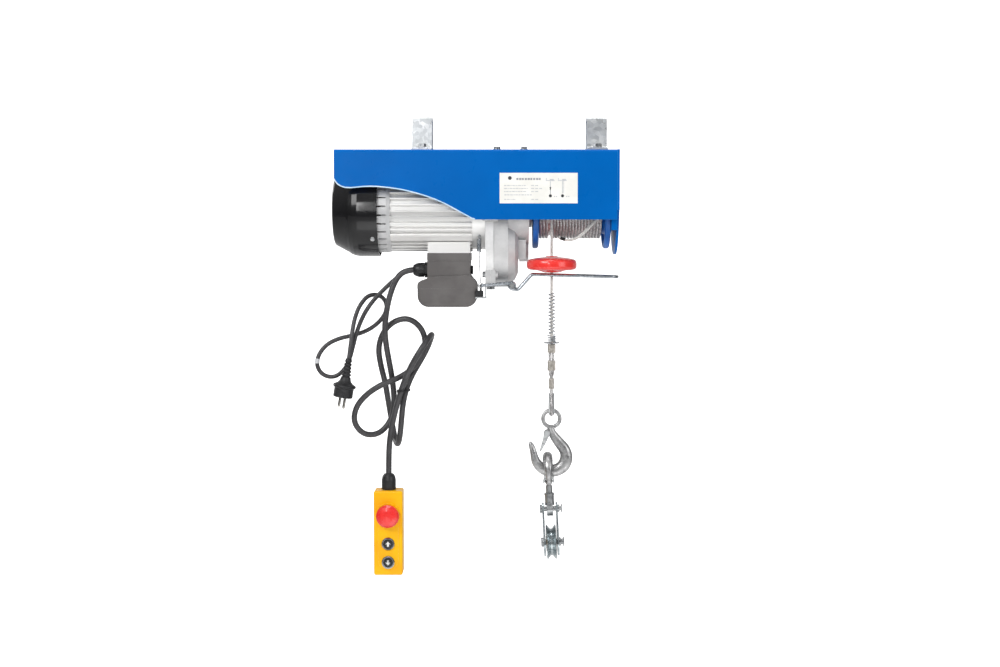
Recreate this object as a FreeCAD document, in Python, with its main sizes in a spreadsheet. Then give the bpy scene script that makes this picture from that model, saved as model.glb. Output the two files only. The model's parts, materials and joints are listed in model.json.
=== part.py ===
"""Electric wire rope hoist, built piece by piece in millimetres.

Frame: +Z up, +X from the motor's fan towards the drum, -Y is the side with
the rope fall and the data plate.  The origin is midway between the two beam
clamps, on the plane where their straps sit on the beam, above the common axis
of motor and drum.
"""
import FreeCAD, Part
import os
import math
from FreeCAD import Vector, Placement, Rotation

os.makedirs("parts", exist_ok=True)
doc = FreeCAD.newDocument("RopeHoist")

# --------------------------------------------------------------------------
# driving dimensions
# --------------------------------------------------------------------------
DIMS = [
    # beam clamps
    ("clamp_pitch", 300.0), ("clamp_w", 34.0), ("strap_th", 5.5), ("seat_drop", 53.5),
    ("strap_gap", 36.0), ("foot_len", 25.0), ("clamp_bolt_r", 4.0), ("clamp_bolt_y", 37.0),
    # frame
    ("sheet", 2.5), ("frame_y", 84.0), ("frame_x0", -294.9), ("frame_x1", 180.6),
    ("frame_top", -53.5), ("frame_bot", -171.0), ("bend_r", 6.0), ("end_th", 4.0),
    # common axis and countershaft
    ("axis_z", -154.7), ("mesh_c", 63.75), ("gear_mod", 1.5),
    # motor
    ("cover_x0", -302.0), ("cover_x1", -224.0), ("cover_r", 78.4), ("cover_th", 2.2),
    ("bell_x0", -224.7), ("bell_x1", -202.7), ("bell_r", 71.5),
    ("hous_x0", -202.7), ("hous_x1", -63.7), ("hous_r", 64.0), ("fin_r", 70.0), ("bore_r", 56.0),
    ("fin_th", 3.4), ("fin_count", 40.0), ("neck_r", 66.0), ("neck_x1", -41.7),
    ("stack_x0", -178.0), ("stack_x1", -104.0), ("rotor_r", 31.6), ("stator_bore", 32.2),
    ("shaft_r", 7.5),
    # gearbox
    ("fl_x0", -41.5), ("fl_x1", -32.5), ("cas_x0", -32.3), ("cas_x1", -26.5), ("cas_x2", -2.7),
    ("cas_r", 62.0), ("low_r", 63.5), ("boss_r", 60.0), ("boss_x1", 33.3), ("wall", 4.5),
    # drum
    ("drum_x0", 40.0), ("drum_x1", 172.0), ("drum_fl_r", 65.0), ("core_r", 38.0), ("wind_r", 48.0),
    ("drum_fl_th", 5.0), ("rope_d", 5.0), ("wind_x0", 53.5), ("wind_x1", 158.5),
    ("rope_x", 72.0), ("rope_y", -45.5),
    # pedestal, terminal box
    ("ped_x0", -139.7), ("ped_x1", -67.2), ("ped_y", 46.0), ("ped_z0", -227.3), ("ped_z1", -207.2),
    ("box_th", 2.6), ("box_z1", -272.8), ("box_seam", -288.3), ("box_z0", -320.0), ("box_y", 44.0),
    # limit stop
    ("lev_px", 4.2), ("lev_pz", -283.0), ("wire_d", 5.0), ("leg_half", 11.0),
    ("disc_r", 42.65), ("disc_bore", 4.5),
    # load line
    ("fer1_z1", -383.0), ("fer1_z0", -397.8), ("fer2_z1", -411.7), ("fer2_z0", -428.3),
    ("fer3_z1", -442.0), ("fer3_z0", -459.8), ("spr_z1", -296.3), ("spr_z0", -379.6),
    ("eye_x", 72.0), ("eye_z", -511.4), ("eye_or", 17.6), ("eye_ir", 11.2), ("eye_t", 9.0),
    # pulley block
    ("blk_x", 66.2), ("blk_top_z", -590.35), ("blk_tilt", 2.6), ("bolt_z", -667.4),
    ("cheek_gap", 20.4), ("cheek_th", 3.0), ("sheave_r", 30.4), ("sheave_w", 18.0), ("sheave_z", -725.4),
    ("groove_r", 23.1),
    # pendant control
    ("pen_x", -209.7), ("pen_y", -20.0), ("pen_w", 50.0), ("pen_z1", -638.0), ("pen_z0", -784.9),
    ("pen_d", 42.0), ("pen_r", 7.0), ("stop_d", 40.0), ("stop_z", -679.9), ("up_z", -729.2), ("down_z", -761.6),
    ("btn_d", 22.0),
    # cables
    ("pend_cable_d", 10.0), ("mains_d", 7.5),
]
sheet = doc.addObject("Spreadsheet::Sheet", "Dims")
for i, (alias, number) in enumerate(DIMS, start=1):
    sheet.set("A%d" % i, alias.replace("_", " "))
    sheet.set("B%d" % i, repr(number))
    sheet.setAlias("B%d" % i, alias)
doc.recompute()


class Q(object):
    """A size: its formula over the sheet's cells, and its number."""

    def __init__(self, text, num):
        self.text, self.num = text, float(num)

    @staticmethod
    def of(v):
        return v if isinstance(v, Q) else Q(repr(float(v)), v)

    def __add__(self, o):
        o = Q.of(o)
        return Q("(%s + %s)" % (self.text, o.text), self.num + o.num)

    def __radd__(self, o):
        return Q.of(o) + self

    def __sub__(self, o):
        o = Q.of(o)
        return Q("(%s - %s)" % (self.text, o.text), self.num - o.num)

    def __rsub__(self, o):
        return Q.of(o) - self

    def __mul__(self, o):
        o = Q.of(o)
        return Q("(%s * %s)" % (self.text, o.text), self.num * o.num)

    def __rmul__(self, o):
        return Q.of(o) * self

    def __truediv__(self, o):
        o = Q.of(o)
        return Q("(%s / %s)" % (self.text, o.text), self.num / o.num)

    def __neg__(self):
        return Q("(0 - %s)" % self.text, -self.num)

    def __float__(self):
        return self.num


class Cells(object):
    pass


d = Cells()
for alias, number in DIMS:
    setattr(d, alias, Q("Dims." + alias, number))


def n(v):
    return float(v)


AX = {
    "z": Rotation(), "-z": Rotation(Vector(1, 0, 0), 180),
    "x": Rotation(Vector(0, 1, 0), 90), "-x": Rotation(Vector(0, 1, 0), -90),
    "y": Rotation(Vector(1, 0, 0), -90), "-y": Rotation(Vector(1, 0, 0), 90),
}
COUNT = [0]


def fresh(stem):
    COUNT[0] += 1
    return "%s_%d" % (stem, COUNT[0])


def bind(obj, prop, v):
    if isinstance(v, Q):
        setattr(obj, prop, v.num)
        obj.setExpression(prop, v.text)
    else:
        setattr(obj, prop, v)


def seat(obj, x, y, z, rot=None):
    rot = AX[rot] if isinstance(rot, str) else (rot or Rotation())
    obj.Placement = Placement(Vector(n(x), n(y), n(z)), rot)
    for key, v in (("x", x), ("y", y), ("z", z)):
        if isinstance(v, Q):
            obj.setExpression("Placement.Base." + key, v.text)
    return obj


def cyl(r, h, x, y, z, ax="z"):
    o = doc.addObject("Part::Cylinder", fresh("cyl"))
    bind(o, "Radius", r)
    bind(o, "Height", h)
    return seat(o, x, y, z, ax)


def cone(r1, r2, h, x, y, z, ax="z"):
    o = doc.addObject("Part::Cone", fresh("cone"))
    bind(o, "Radius1", r1)
    bind(o, "Radius2", r2)
    bind(o, "Height", h)
    return seat(o, x, y, z, ax)


def box(lx, ly, lz, x, y, z):
    o = doc.addObject("Part::Box", fresh("box"))
    bind(o, "Length", lx)
    bind(o, "Width", ly)
    bind(o, "Height", lz)
    return seat(o, x, y, z)


def span(x0, x1, y0, y1, z0, z1):
    """A box between two corners."""
    return box(Q.of(x1) - x0, Q.of(y1) - y0, Q.of(z1) - z0, x0, y0, z0)


def torus(big, small, x, y, z, ax="z"):
    o = doc.addObject("Part::Torus", fresh("torus"))
    bind(o, "Radius1", big)
    bind(o, "Radius2", small)
    return seat(o, x, y, z, ax)


def hexa(af, h, x, y, z, ax="z"):
    o = doc.addObject("Part::Prism", fresh("hexa"))
    o.Polygon = 6
    bind(o, "Circumradius", Q.of(af) / 1.7320508)
    bind(o, "Height", h)
    return seat(o, x, y, z, ax)


def ball(r, x, y, z):
    o = doc.addObject("Part::Sphere", fresh("ball"))
    bind(o, "Radius", r)
    return seat(o, x, y, z)


def fuse(*objs):
    if len(objs) == 1:
        return objs[0]
    o = doc.addObject("Part::MultiFuse", fresh("fuse"))
    o.Shapes = list(objs)
    o.Refine = True
    return o


def group(*objs):
    """Separate solids kept in one piece list (same kind of fastener)."""
    o = doc.addObject("Part::Compound", fresh("group"))
    o.Links = list(objs)
    return o


def cut(a, *tools):
    o = doc.addObject("Part::Cut", fresh("cut"))
    o.Base = a
    o.Tool = fuse(*tools)
    o.Refine = True
    return o


def common(a, b):
    o = doc.addObject("Part::Common", fresh("common"))
    o.Base, o.Tool = a, b
    return o


def ring(ro, ri, h, x, y, z, ax="z"):
    a = cyl(ro, h, x, y, z, ax)
    b = cyl(ri, h, x, y, z, ax)
    return cut(a, b)


def fillet(obj, r, pick):
    """Part::Fillet on the edges whose centre and direction satisfy pick."""
    doc.recompute()
    edges = []
    for i, e in enumerate(obj.Shape.Edges, start=1):
        try:
            c = e.CenterOfMass
            t = e.tangentAt(e.FirstParameter + 0.5 * (e.LastParameter - e.FirstParameter))
        except Exception:
            continue
        if pick(c, t, e):
            edges.append((i, n(r), n(r)))
    o = doc.addObject("Part::Fillet", fresh("fillet"))
    o.Base = obj
    o.Edges = edges
    doc.recompute()
    return o


def raw(shape, placement=None):
    o = doc.addObject("Part::Feature", fresh("shape"))
    o.Shape = shape
    if placement is not None:
        o.Placement = placement
    return o


def plane_of(body, role):
    for f in body.Origin.OriginFeatures:
        if f.Role == role:
            return f
    raise RuntimeError("no plane " + role)


def sketch_poly(body, role, loops, name):
    """A sketch of closed polylines; every vertex is held by two distances
    from the origin, bound to the sheet where it is a formula."""
    import Sketcher
    sk = body.newObject("Sketcher::SketchObject", name)
    sk.AttachmentSupport = [(plane_of(body, role), "")]
    sk.MapMode = "FlatFace"
    for pts in loops:
        first = sk.GeometryCount
        m = len(pts)
        for k in range(m):
            a, b = pts[k], pts[(k + 1) % m]
            sk.addGeometry(Part.LineSegment(Vector(n(a[0]), n(a[1]), 0), Vector(n(b[0]), n(b[1]), 0)), False)
        for k in range(m):
            sk.addConstraint(Sketcher.Constraint("Coincident", first + k, 2, first + (k + 1) % m, 1))
        for k in range(m):
            for kind, axis_geo, v in (("DistanceX", -2, pts[k][0]), ("DistanceY", -1, pts[k][1])):
                if abs(n(v)) < 1e-9:
                    sk.addConstraint(Sketcher.Constraint("PointOnObject", first + k, 1, axis_geo))
                    continue
                c = sk.addConstraint(Sketcher.Constraint(kind, -1, 1, first + k, 1, n(v)))
                if isinstance(v, Q):
                    sk.setExpression("Constraints[%d]" % c, v.text)
    return sk


def sketch_circle(body, role, radii, name):
    import Sketcher
    sk = body.newObject("Sketcher::SketchObject", name)
    sk.AttachmentSupport = [(plane_of(body, role), "")]
    sk.MapMode = "FlatFace"
    for r in radii:
        g = sk.addGeometry(Part.Circle(Vector(0, 0, 0), Vector(0, 0, 1), n(r)), False)
        sk.addConstraint(Sketcher.Constraint("Coincident", g, 3, -1, 1))
        c = sk.addConstraint(Sketcher.Constraint("Radius", g, n(r)))
        if isinstance(r, Q):
            sk.setExpression("Constraints[%d]" % c, r.text)
    return sk


def rev(pts, x, y, z, ax="z", extra=None):
    """A turned piece: profile (radius, height) about its own axis."""
    body = doc.addObject("PartDesign::Body", fresh("turned"))
    sk = sketch_poly(body, "XZ_Plane", [pts], fresh("profile"))
    r = body.newObject("PartDesign::Revolution", fresh("revolve"))
    r.Profile = sk
    r.ReferenceAxis = (sk, ["V_Axis"])
    r.Angle = 360.0
    body.Tip = r
    if extra:
        doc.recompute()
        extra(body)
    return seat(body, x, y, z, ax)


def pad(loops, h, x, y, z, rot="z", extra=None):
    """A piece cut from plate: outline loops on its own XY plane, padded."""
    body = doc.addObject("PartDesign::Body", fresh("plate"))
    sk = sketch_poly(body, "XY_Plane", loops, fresh("outline"))
    p = body.newObject("PartDesign::Pad", fresh("pad"))
    p.Profile = sk
    bind(p, "Length", h)
    body.Tip = p
    if extra:
        doc.recompute()
        extra(body)
    return seat(body, x, y, z, rot)


def tube_path(pts, closed=False, factor=0.45, radii=None, report=None):
    """Straight runs joined by tangent arcs: each arc's radius is the factor
    times the shorter run, divided by the tangent of half the turn."""
    V = [Vector(*p) for p in pts]
    edges, rs = [], []
    start = V[0]
    length = 0.0
    for i in range(1, len(V) - 1):
        a, b, c = V[i - 1], V[i], V[i + 1]
        u, w = (b - a), (c - b)
        lu, lw = u.Length, w.Length
        u.normalize()
        w.normalize()
        turn = u.getAngle(w)
        if turn < 1e-3:
            raise RuntimeError("three points in line at %d" % i)
        R = factor * min(lu, lw) / math.tan(turn / 2)
        if radii and radii.get(i):
            R = radii[i]
        t = R * math.tan(turn / 2)
        p1, p2 = b - u * t, b + w * t
        bis = (w - u)
        bis.normalize()
        centre = b + bis * (R / math.cos(turn / 2))
        mid = centre - bis * R
        if (p1 - start).Length > 1e-6:
            edges.append(Part.LineSegment(start, p1).toShape())
            length += (p1 - start).Length
        edges.append(Part.Arc(p1, mid, p2).toShape())
        length += R * turn
        rs.append((i, round(R, 1), round(math.degrees(turn), 1), round(lu, 1)))
        start = p2
    edges.append(Part.LineSegment(start, V[-1]).toShape())
    length += (V[-1] - start).Length
    return Part.Wire(edges), length, rs


def tube(pts, r, **kw):
    wire, length, rs = tube_path(pts, **kw)
    tan = wire.OrderedEdges[0].tangentAt(wire.OrderedEdges[0].FirstParameter)
    if (wire.OrderedEdges[0].Vertexes[0].Point - Vector(*pts[0])).Length > 1e-6:
        tan = tan * -1
    prof = Part.Wire([Part.Circle(Vector(*pts[0]), Vector(*pts[1]) - Vector(*pts[0]), r).toShape()])
    solid = wire.makePipeShell([prof], True, False)
    if solid.Volume < 0:
        solid.reverse()
    return solid, length, rs


def cyl_between(p, q, r):
    v = Vector(*q) - Vector(*p)
    return Part.makeCylinder(r, v.Length, Vector(*p), v)


def involute_gear(teeth, m, width, phase, backlash, addendum, root):
    """Spur gear about Z, one tooth centred on the angle phase (degrees).
    Flanks are short chords of a 20 degree involute."""
    rp = m * teeth / 2.0
    rb = rp * math.cos(math.radians(20))
    ra = rp + addendum * m
    rf = rp - root * m
    inv20 = math.tan(math.radians(20)) - math.radians(20)
    half = math.pi / (2 * teeth) - backlash / (2 * rp)

    def ang(r):
        if r <= rb:
            return half + inv20
        al = math.acos(rb / r)
        return half + inv20 - (math.tan(al) - al)

    rs = [max(rb, rf + 0.05), (max(rb, rf) + rp) / 2, rp, (rp + ra) / 2, ra]
    pts = []
    for k in range(teeth):
        c = math.radians(phase) + 2 * math.pi * k / teeth
        left = []
        if rf < rb:
            left.append((rf, c - min(ang(rb), math.pi / teeth * 0.92)))
        for r in rs:
            left.append((r, c - ang(r)))
        right = [(r, 2 * c - a) for r, a in reversed(left)]
        pts += left + right
    vs = [Vector(r * math.cos(a), r * math.sin(a), 0) for r, a in pts]
    face = Part.Face(Part.makePolygon(vs + [vs[0]]))
    return face.extrude(Vector(0, 0, width))


NODES = {}


def node(name, obj):
    assert name not in NODES, name
    obj.Label = name
    NODES[name] = obj
    return obj


AZ = d.axis_z
CZ = d.axis_z - d.mesh_c           # countershaft height

# --------------------------------------------------------------------------
# 1. frame: one folded channel, open below, and the end plate
# --------------------------------------------------------------------------
def channel():
    fy, sh = n(d.frame_y), n(d.sheet)
    top, bot = n(d.frame_top), n(d.frame_bot)
    x0, x1, r = n(d.frame_x0), n(d.frame_x1), n(d.bend_r)
    # section in the YZ plane, outer and inner outlines with bend radii
    def outline(y, z, rr):
        a = Part.LineSegment(Vector(x0, -y, bot - 5), Vector(x0, -y, z - rr)).toShape()
        k = rr * (1 - math.cos(math.pi / 4))
        b = Part.Arc(Vector(x0, -y, z - rr), Vector(x0, -y + k, z - k), Vector(x0, -y + rr, z)).toShape()
        c = Part.LineSegment(Vector(x0, -y + rr, z), Vector(x0, y - rr, z)).toShape()
        e = Part.Arc(Vector(x0, y - rr, z), Vector(x0, y - k, z - k), Vector(x0, y, z - rr)).toShape()
        f = Part.LineSegment(Vector(x0, y, z - rr), Vector(x0, y, bot - 5)).toShape()
        return [a, b, c, e, f]
    o = outline(fy, top, r)
    i = outline(fy - sh, top - sh, r - sh)
    j1 = Part.LineSegment(Vector(x0, -fy, bot - 5), Vector(x0, -fy + sh, bot - 5)).toShape()
    j2 = Part.LineSegment(Vector(x0, fy, bot - 5), Vector(x0, fy - sh, bot - 5)).toShape()
    wire = Part.Wire(Part.__sortEdges__(o + [j2] + i + [j1]))
    solid = Part.Face(wire).extrude(Vector(x1 - x0, 0, 0))
    # the lower edge: a drop at the fan end, a long gentle curve over the
    # motor, then straight under the drum
    curve = [(-294.9, -103.2), (-292.8, -107.2), (-288.8, -112.0), (-283.5, -115.6), (-276.0, -118.0),
             (-268.0, -118.4), (-258.0, -117.6), (-246.0, -116.4), (-234.0, -116.0), (-222.6, -116.4),
             (-203.4, -118.0), (-184.1, -120.9), (-164.8, -125.1), (-145.4, -130.7), (-126.0, -137.4),
             (-106.7, -146.0), (-87.3, -156.7), (-71.9, -165.0), (-64.5, -169.2), (-58.5, -171.0)]
    sp = Part.BSplineCurve()
    sp.interpolate([Vector(x, -200, z) for x, z in curve])
    low = bot - 20
    tail = [Vector(curve[-1][0], -200, curve[-1][1]), Vector(x1 + 10, -200, bot), Vector(x1 + 10, -200, low),
            Vector(x0 - 10, -200, low), Vector(x0 - 10, -200, curve[0][1]), Vector(curve[0][0], -200, curve[0][1])]
    edges = [sp.toShape()] + [Part.LineSegment(tail[k], tail[k + 1]).toShape() for k in range(len(tail) - 1)]
    tool = Part.Face(Part.Wire(edges)).extrude(Vector(0, 400, 0))
    return solid.cut(tool)


frame_sheet = raw(channel())
frame_sheet.Label = "folded_sheet"
top_holes = []
for sx in (-1, 1):
    for sy in (-1, 1):
        top_holes.append(cyl(d.clamp_bolt_r + 0.3, 20, sx * d.clamp_pitch / 2, sy * d.clamp_bolt_y, d.frame_top - 10))
for bx in (-21.4, 24.0):
    top_holes.append(cyl(3.3, 20, bx, -62.0, d.frame_top - 10))
    top_holes.append(cyl(3.3, 20, bx, 62.0, d.frame_top - 10))
node("frame_channel", cut(frame_sheet, *top_holes))

# end plate: square top, round bottom about the drum axis, pressed hub
end_x = d.frame_x1 + 0.1
end_round = cyl(75.0, d.end_th, end_x, 0, AZ, "x")
end_square = span(end_x, end_x + d.end_th, -d.frame_y + d.sheet + 0.3 - 2.5, d.frame_y - d.sheet - 0.3 + 2.5, AZ, d.frame_top)
end_lobe = span(end_x, end_x + d.end_th, -75.0, 75.0, AZ - 20, AZ)
end_hub = cyl(24.0, 9.0, end_x - 4.0, 0, AZ, "x")
# two folded ears at the lower corners of the plate
ear_f = span(end_x - 9.0, end_x + 0.5, -74.9, -71.9, AZ - 34, AZ - 14)
ear_b = span(end_x - 9.0, end_x + 0.5, 71.9, 74.9, AZ - 34, AZ - 14)
end_bore = cyl(17.55, 14.0, end_x - 5.0, 0, AZ, "x")
tabs = [span(end_x - 12.0, end_x + 1.0, s * 62.0 - 9.0, s * 62.0 + 9.0, d.frame_top - 2.5 - 2.5, d.frame_top - 2.6) for s in (-1, 1)]
end_all = fuse(end_round, end_square, end_hub, ear_f, ear_b, *tabs)
node("end_plate", cut(end_all, end_bore))

# --------------------------------------------------------------------------
# 2. beam clamps and their bolts
# --------------------------------------------------------------------------
def strap(cx):
    g, t, w = d.strap_gap, d.strap_th, d.clamp_w
    hy = g / 2
    out = hy + t
    foot = out + d.foot_len
    z0 = -d.seat_drop
    # outline drawn with its left foot's end on x = 0
    L = foot
    loop = [(0, 0), (L - hy, 0), (L - hy, d.seat_drop), (L + hy, d.seat_drop), (L + hy, 0), (L + L, 0),
            (L + L, t), (L + out, t), (L + out, d.seat_drop + t), (L - out, d.seat_drop + t), (L - out, t), (0, t)]
    # local X -> world Y, local Y -> world Z, padded along world X
    rot = Rotation(Vector(0, 1, 0), Vector(0, 0, 1), Vector(1, 0, 0), "ZXY")
    s = pad([loop], w, cx - w / 2, -L, z0 + 0.0, rot)
    return s


def clamp(cx):
    s = strap(cx)
    doc.recompute()
    f = fillet(s, 5.0, lambda c, t, e: abs(t.x) > 0.9 and (c.z > -3 or c.z < -45) and abs(abs(c.y) - 23.5) < 0.3)
    f2 = fillet(f, 1.2, lambda c, t, e: abs(t.x) > 0.9 and abs(c.z + 0.0) < 0.3 and abs(abs(c.y) - 18) < 0.3)
    holes = [cyl(d.clamp_bolt_r + 0.3, 20, cx, sy * (d.clamp_bolt_y + 0.0), -d.seat_drop - 5) for sy in (-1, 1)]
    return cut(f2, *holes)


node("beam_clamps", group(clamp(-d.clamp_pitch / 2), clamp(d.clamp_pitch / 2)))


def hex_bolt(x, y, z_face, length, r, af, head, up=True, washer=True):
    """Head above z_face, shank going down, nut under the sheet."""
    s = 1 if up else -1
    parts = []
    ax = "z" if up else "-z"
    zz = z_face
    if washer:
        parts.append(cyl(r * 2.1, 1.4, x, y, zz + s * 0.02, ax))
        zz = zz + s * 1.42
    parts.append(hexa(af, head, x, y, zz, ax))
    parts.append(cyl(r, length, x, y, zz + s * 0.1, "-z" if up else "z"))
    return parts


bolts = []
for sx in (-1, 1):
    for sy in (-1, 1):
        x, y = sx * d.clamp_pitch / 2, sy * (d.clamp_bolt_y)
        zf = -d.seat_drop + d.strap_th
        stem = hex_bolt(x, y, zf, 16.0, d.clamp_bolt_r, 13.0, 5.3)
        nut = hexa(13.0, 6.5, x, y, d.frame_top - d.sheet - 0.05, "-z")
        bolts.append(fuse(*(stem + [nut])))
node("clamp_bolts", group(*bolts))

# --------------------------------------------------------------------------
# 3. motor
# --------------------------------------------------------------------------
# finned housing: tube with longitudinal fins, two smooth foot rails
def housing():
    body = doc.addObject("PartDesign::Body", fresh("housing"))
    sk = sketch_circle(body, "XY_Plane", [d.hous_r, d.bore_r], fresh("tube"))
    p = body.newObject("PartDesign::Pad", fresh("pad"))
    p.Profile = sk
    bind(p, "Length", d.hous_x1 - d.hous_x0)
    doc.recompute()
    inner = d.hous_r - 1.5
    sk2 = sketch_poly(body, "XY_Plane", [[(inner, 0), (inner, d.fin_th), (d.fin_r - 0.9, d.fin_th), (d.fin_r, d.fin_th - 0.9), (d.fin_r, 0.9), (d.fin_r - 0.9, 0)]], fresh("fin"))
    f = body.newObject("PartDesign::Pad", fresh("fin"))
    f.Profile = sk2
    bind(f, "Length", d.hous_x1 - d.hous_x0)
    doc.recompute()
    pat = body.newObject("PartDesign::PolarPattern", fresh("fins"))
    pat.Originals = [f]
    pat.Axis = (sk, ["N_Axis"])
    pat.Angle = 360
    pat.Occurrences = int(n(d.fin_count))
    body.Tip = pat
    doc.recompute()
    return seat(body, d.hous_x0, 0, AZ, "x")


hou_half = housing()
doc.recompute()
rails = []
for sy in (-1, 1):
    a = math.radians(-42)
    rr = 66.0
    rail = box(d.hous_x1 - d.hous_x0, 11.0, 11.0, 0, 0, 0)
    q = Rotation(Vector(1, 0, 0), sy * 42.0 if sy > 0 else -42.0)
    # centre line of the rail at 42 degrees below the horizontal
    cy, cz = sy * rr * math.cos(a), n(AZ) + rr * math.sin(a)
    off = q.multVec(Vector(0, -5.5, -5.5))
    rail.Placement = Placement(Vector(n(d.hous_x0), cy + off.y, cz + off.z), q)
    rail.setExpression("Placement.Base.x", d.hous_x0.text)
    rails.append(rail)
neck = cyl(d.neck_r, d.neck_x1 - d.hous_x1, d.hous_x1, 0, AZ, "x")
hou = fuse(hou_half, neck, *rails)
hou_bore = cyl(d.bore_r, d.neck_x1 - d.hous_x0 + 2, d.hous_x0 - 1, 0, AZ, "x")
node("motor_housing", cut(hou, hou_bore))

# stator pack with 24 closed slots shown by their mouths, and winding heads
stat = ring(d.bore_r - 0.05, d.stator_bore, d.stack_x1 - d.stack_x0, d.stack_x0, 0, AZ, "x")
slots = []
for k in range(24):
    a = math.radians(15 * k)
    s = cyl(2.6, d.stack_x1 - d.stack_x0 + 4, d.stack_x0 - 2, 40.5 * math.cos(a), AZ + 40.5 * math.sin(a), "x")
    slots.append(s)
node("stator_core", cut(stat, *slots))
heads = []
for xa, xb in ((d.stack_x0 - 20, d.stack_x0 - 0.05), (d.stack_x1 + 0.05, d.stack_x1 + 20)):
    L = Q.of(xb) - xa
    heads.append(rev([(35.0, 4.0), (38.0, 0.0), (47.0, 0.0), (51.0, 4.0), (51.0, L - 4.0), (47.0, L), (38.0, L), (35.0, L - 4.0)], xa, 0, AZ, "x"))
node("stator_windings", group(*heads))

# rear end bell: ring of air mouths between cast webs, bearing seat
def bell_extra(body):
    sk = sketch_poly(body, "XY_Plane", [[(d.bell_r - 5.5, 0), (d.bell_r - 5.5, 2.9), (d.bell_r + 4, 2.9), (d.bell_r + 4, 0)]], fresh("mouth"))
    pk = body.newObject("PartDesign::Pocket", fresh("mouth"))
    pk.Profile = sk
    pk.Length = 15.0
    pk.Reversed = True
    doc.recompute()
    pat = body.newObject("PartDesign::PolarPattern", fresh("mouths"))
    pat.Originals = [pk]
    pat.Axis = (sk, ["N_Axis"])
    pat.Angle = 360
    pat.Occurrences = 30
    body.Tip = pat
    doc.recompute()


Lb = d.bell_x1 - d.bell_x0
bell = rev([(17.55, 0), (26.0, 0), (26.0, 6.0), (d.bell_r - 6.0, 9.0), (d.bell_r - 3.0, 0), (d.bell_r, 0), (d.bell_r, 16.0),
            (d.bell_r - 1.5, Lb), (d.bore_r - 1.0, Lb), (d.bore_r - 1.0, 15.0), (26.0, 12.5), (17.55, 12.5)],
           d.bell_x0 + 0.0, 0, AZ, "x", bell_extra)
bell_lugs, lug_holes = [], []
for a in (38.5, 158.5, 278.5):
    q = math.radians(a)
    dy, dz = -math.cos(q), -math.sin(q)
    r_ = Rotation(Vector(1, 0, 0), Vector(0, dz, -dy), Vector(0, dy, dz), "XZY")
    lug = box(15.0, 12.0, 8.7, 0, 0, 0)
    off = r_.multVec(Vector(0, -6.0, 67.0))
    lug.Placement = Placement(Vector(-238.0, off.y, n(AZ) + off.z), r_)
    bell_lugs.append(lug)
    lug_holes.append(seat(cyl(2.15, 12.0, 0, 0, 0), -232.5, dy * 69.0, n(AZ) + dz * 69.0, Rotation(Vector(0, 0, 1), Vector(0, dy, dz))))
node("rear_end_bell", cut(fuse(bell, *bell_lugs), cyl(17.6, 16.0, d.bell_x0 + 1.5, 0, AZ, "x"), *lug_holes))

# fan cover: deep drawn cap with a chamfered crown and a slotted grille
Lc = d.cover_x1 - d.cover_x0
ct = d.cover_th
cov = rev([(0, 0), (54.5, 0), (57.5, 0.9), (59.8, 3.0), (71.6, 25.0), (74.6, 29.0), (d.cover_r - 1.2, 35.5), (d.cover_r, 44.0), (d.cover_r, Lc),
           (d.cover_r - ct, Lc), (d.cover_r - ct, 44.3), (d.cover_r - 1.2 - ct, 36.5), (72.6, 30.3), (69.6, 26.2), (57.6, 3.9), (56.4, 2.6), (54.0, ct), (0, ct)],
          d.cover_x0, 0, AZ, "x")
grille = []
for k in range(18):
    a = 20.0 * k
    slot = box(8.0, 30.0, 4.2, 0, 0, 0)
    q = Rotation(Vector(1, 0, 0), a)
    off = q.multVec(Vector(0, 21.0, -2.1))
    slot.Placement = Placement(Vector(n(d.cover_x0) - 3, off.y, n(AZ) + off.z), q)
    grille.append(slot)
# three screw dimples' holes through the skirt
for a in (38.5, 158.5, 278.5):
    q = math.radians(a)
    grille.append(seat(cyl(2.2, 12.0, 0, 0, 0), -232.5, -math.cos(q) * 70.0, n(AZ) - math.sin(q) * 70.0,
                       Rotation(Vector(0, 0, 1), Vector(0, -math.cos(q), -math.sin(q)))))
node("fan_cover", cut(cov, *grille))

# rotor: shaft with cut pinion, squirrel cage core, fan, brake disc
pin_z = 11
pinion = raw(involute_gear(pin_z, n(d.gear_mod), 13.0, 0, 0.30, 0.78, 1.10))
seat(pinion, -24.5, 0, AZ, Rotation(Vector(0, 0, -1), Vector(0, 1, 0), Vector(1, 0, 0), "ZXY"))
shaft = rev([(0, 0), (6.0, 0), (6.0, 52.0), (d.shaft_r, 52.0), (d.shaft_r, 90.0), (12.0, 90.0), (12.0, 210.0), (d.shaft_r, 210.0),
             (d.shaft_r, 246.0), (6.2, 246.0), (6.2, 259.5), (0, 259.5)], -284.0, 0, AZ, "x")
node("rotor_shaft", fuse(shaft, pinion))
core = ring(d.rotor_r, 12.0, d.stack_x1 - d.stack_x0, d.stack_x0, 0, AZ, "x")
cage = [ring(29.5, 19.0, 5.0, d.stack_x0 - 5.0, 0, AZ, "x"), ring(29.5, 19.0, 5.0, d.stack_x1, 0, AZ, "x")]
node("rotor_core", fuse(core, *cage))
blades = []
for k in range(8):
    q = Rotation(Vector(1, 0, 0), 45.0 * k)
    b = box(19.0, 44.0, 2.0, 0, 0, 0)
    off = q.multVec(Vector(0, 17.0, -1.0))
    b.Placement = Placement(Vector(-281.0, off.y, n(AZ) + off.z), q)
    blades.append(b)
hubf = cyl(18.0, 19.0, -281.0, 0, AZ, "x")
backp = cyl(61.0, 2.0, -264.0, 0, AZ, "x")
node("cooling_fan", cut(fuse(hubf, backp, *blades), cyl(6.02, 60.0, -290.0, 0, AZ, "x")))
node("brake_coil", cut(ring(44.0, 14.0, 16.0, -241.0, 0, AZ, "x"), ring(34.0, 22.0, 8.0, -241.1, 0, AZ, "x")))
node("brake_disc", ring(43.0, 6.02, 9.0, -250.6, 0, AZ, "x"))

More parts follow.
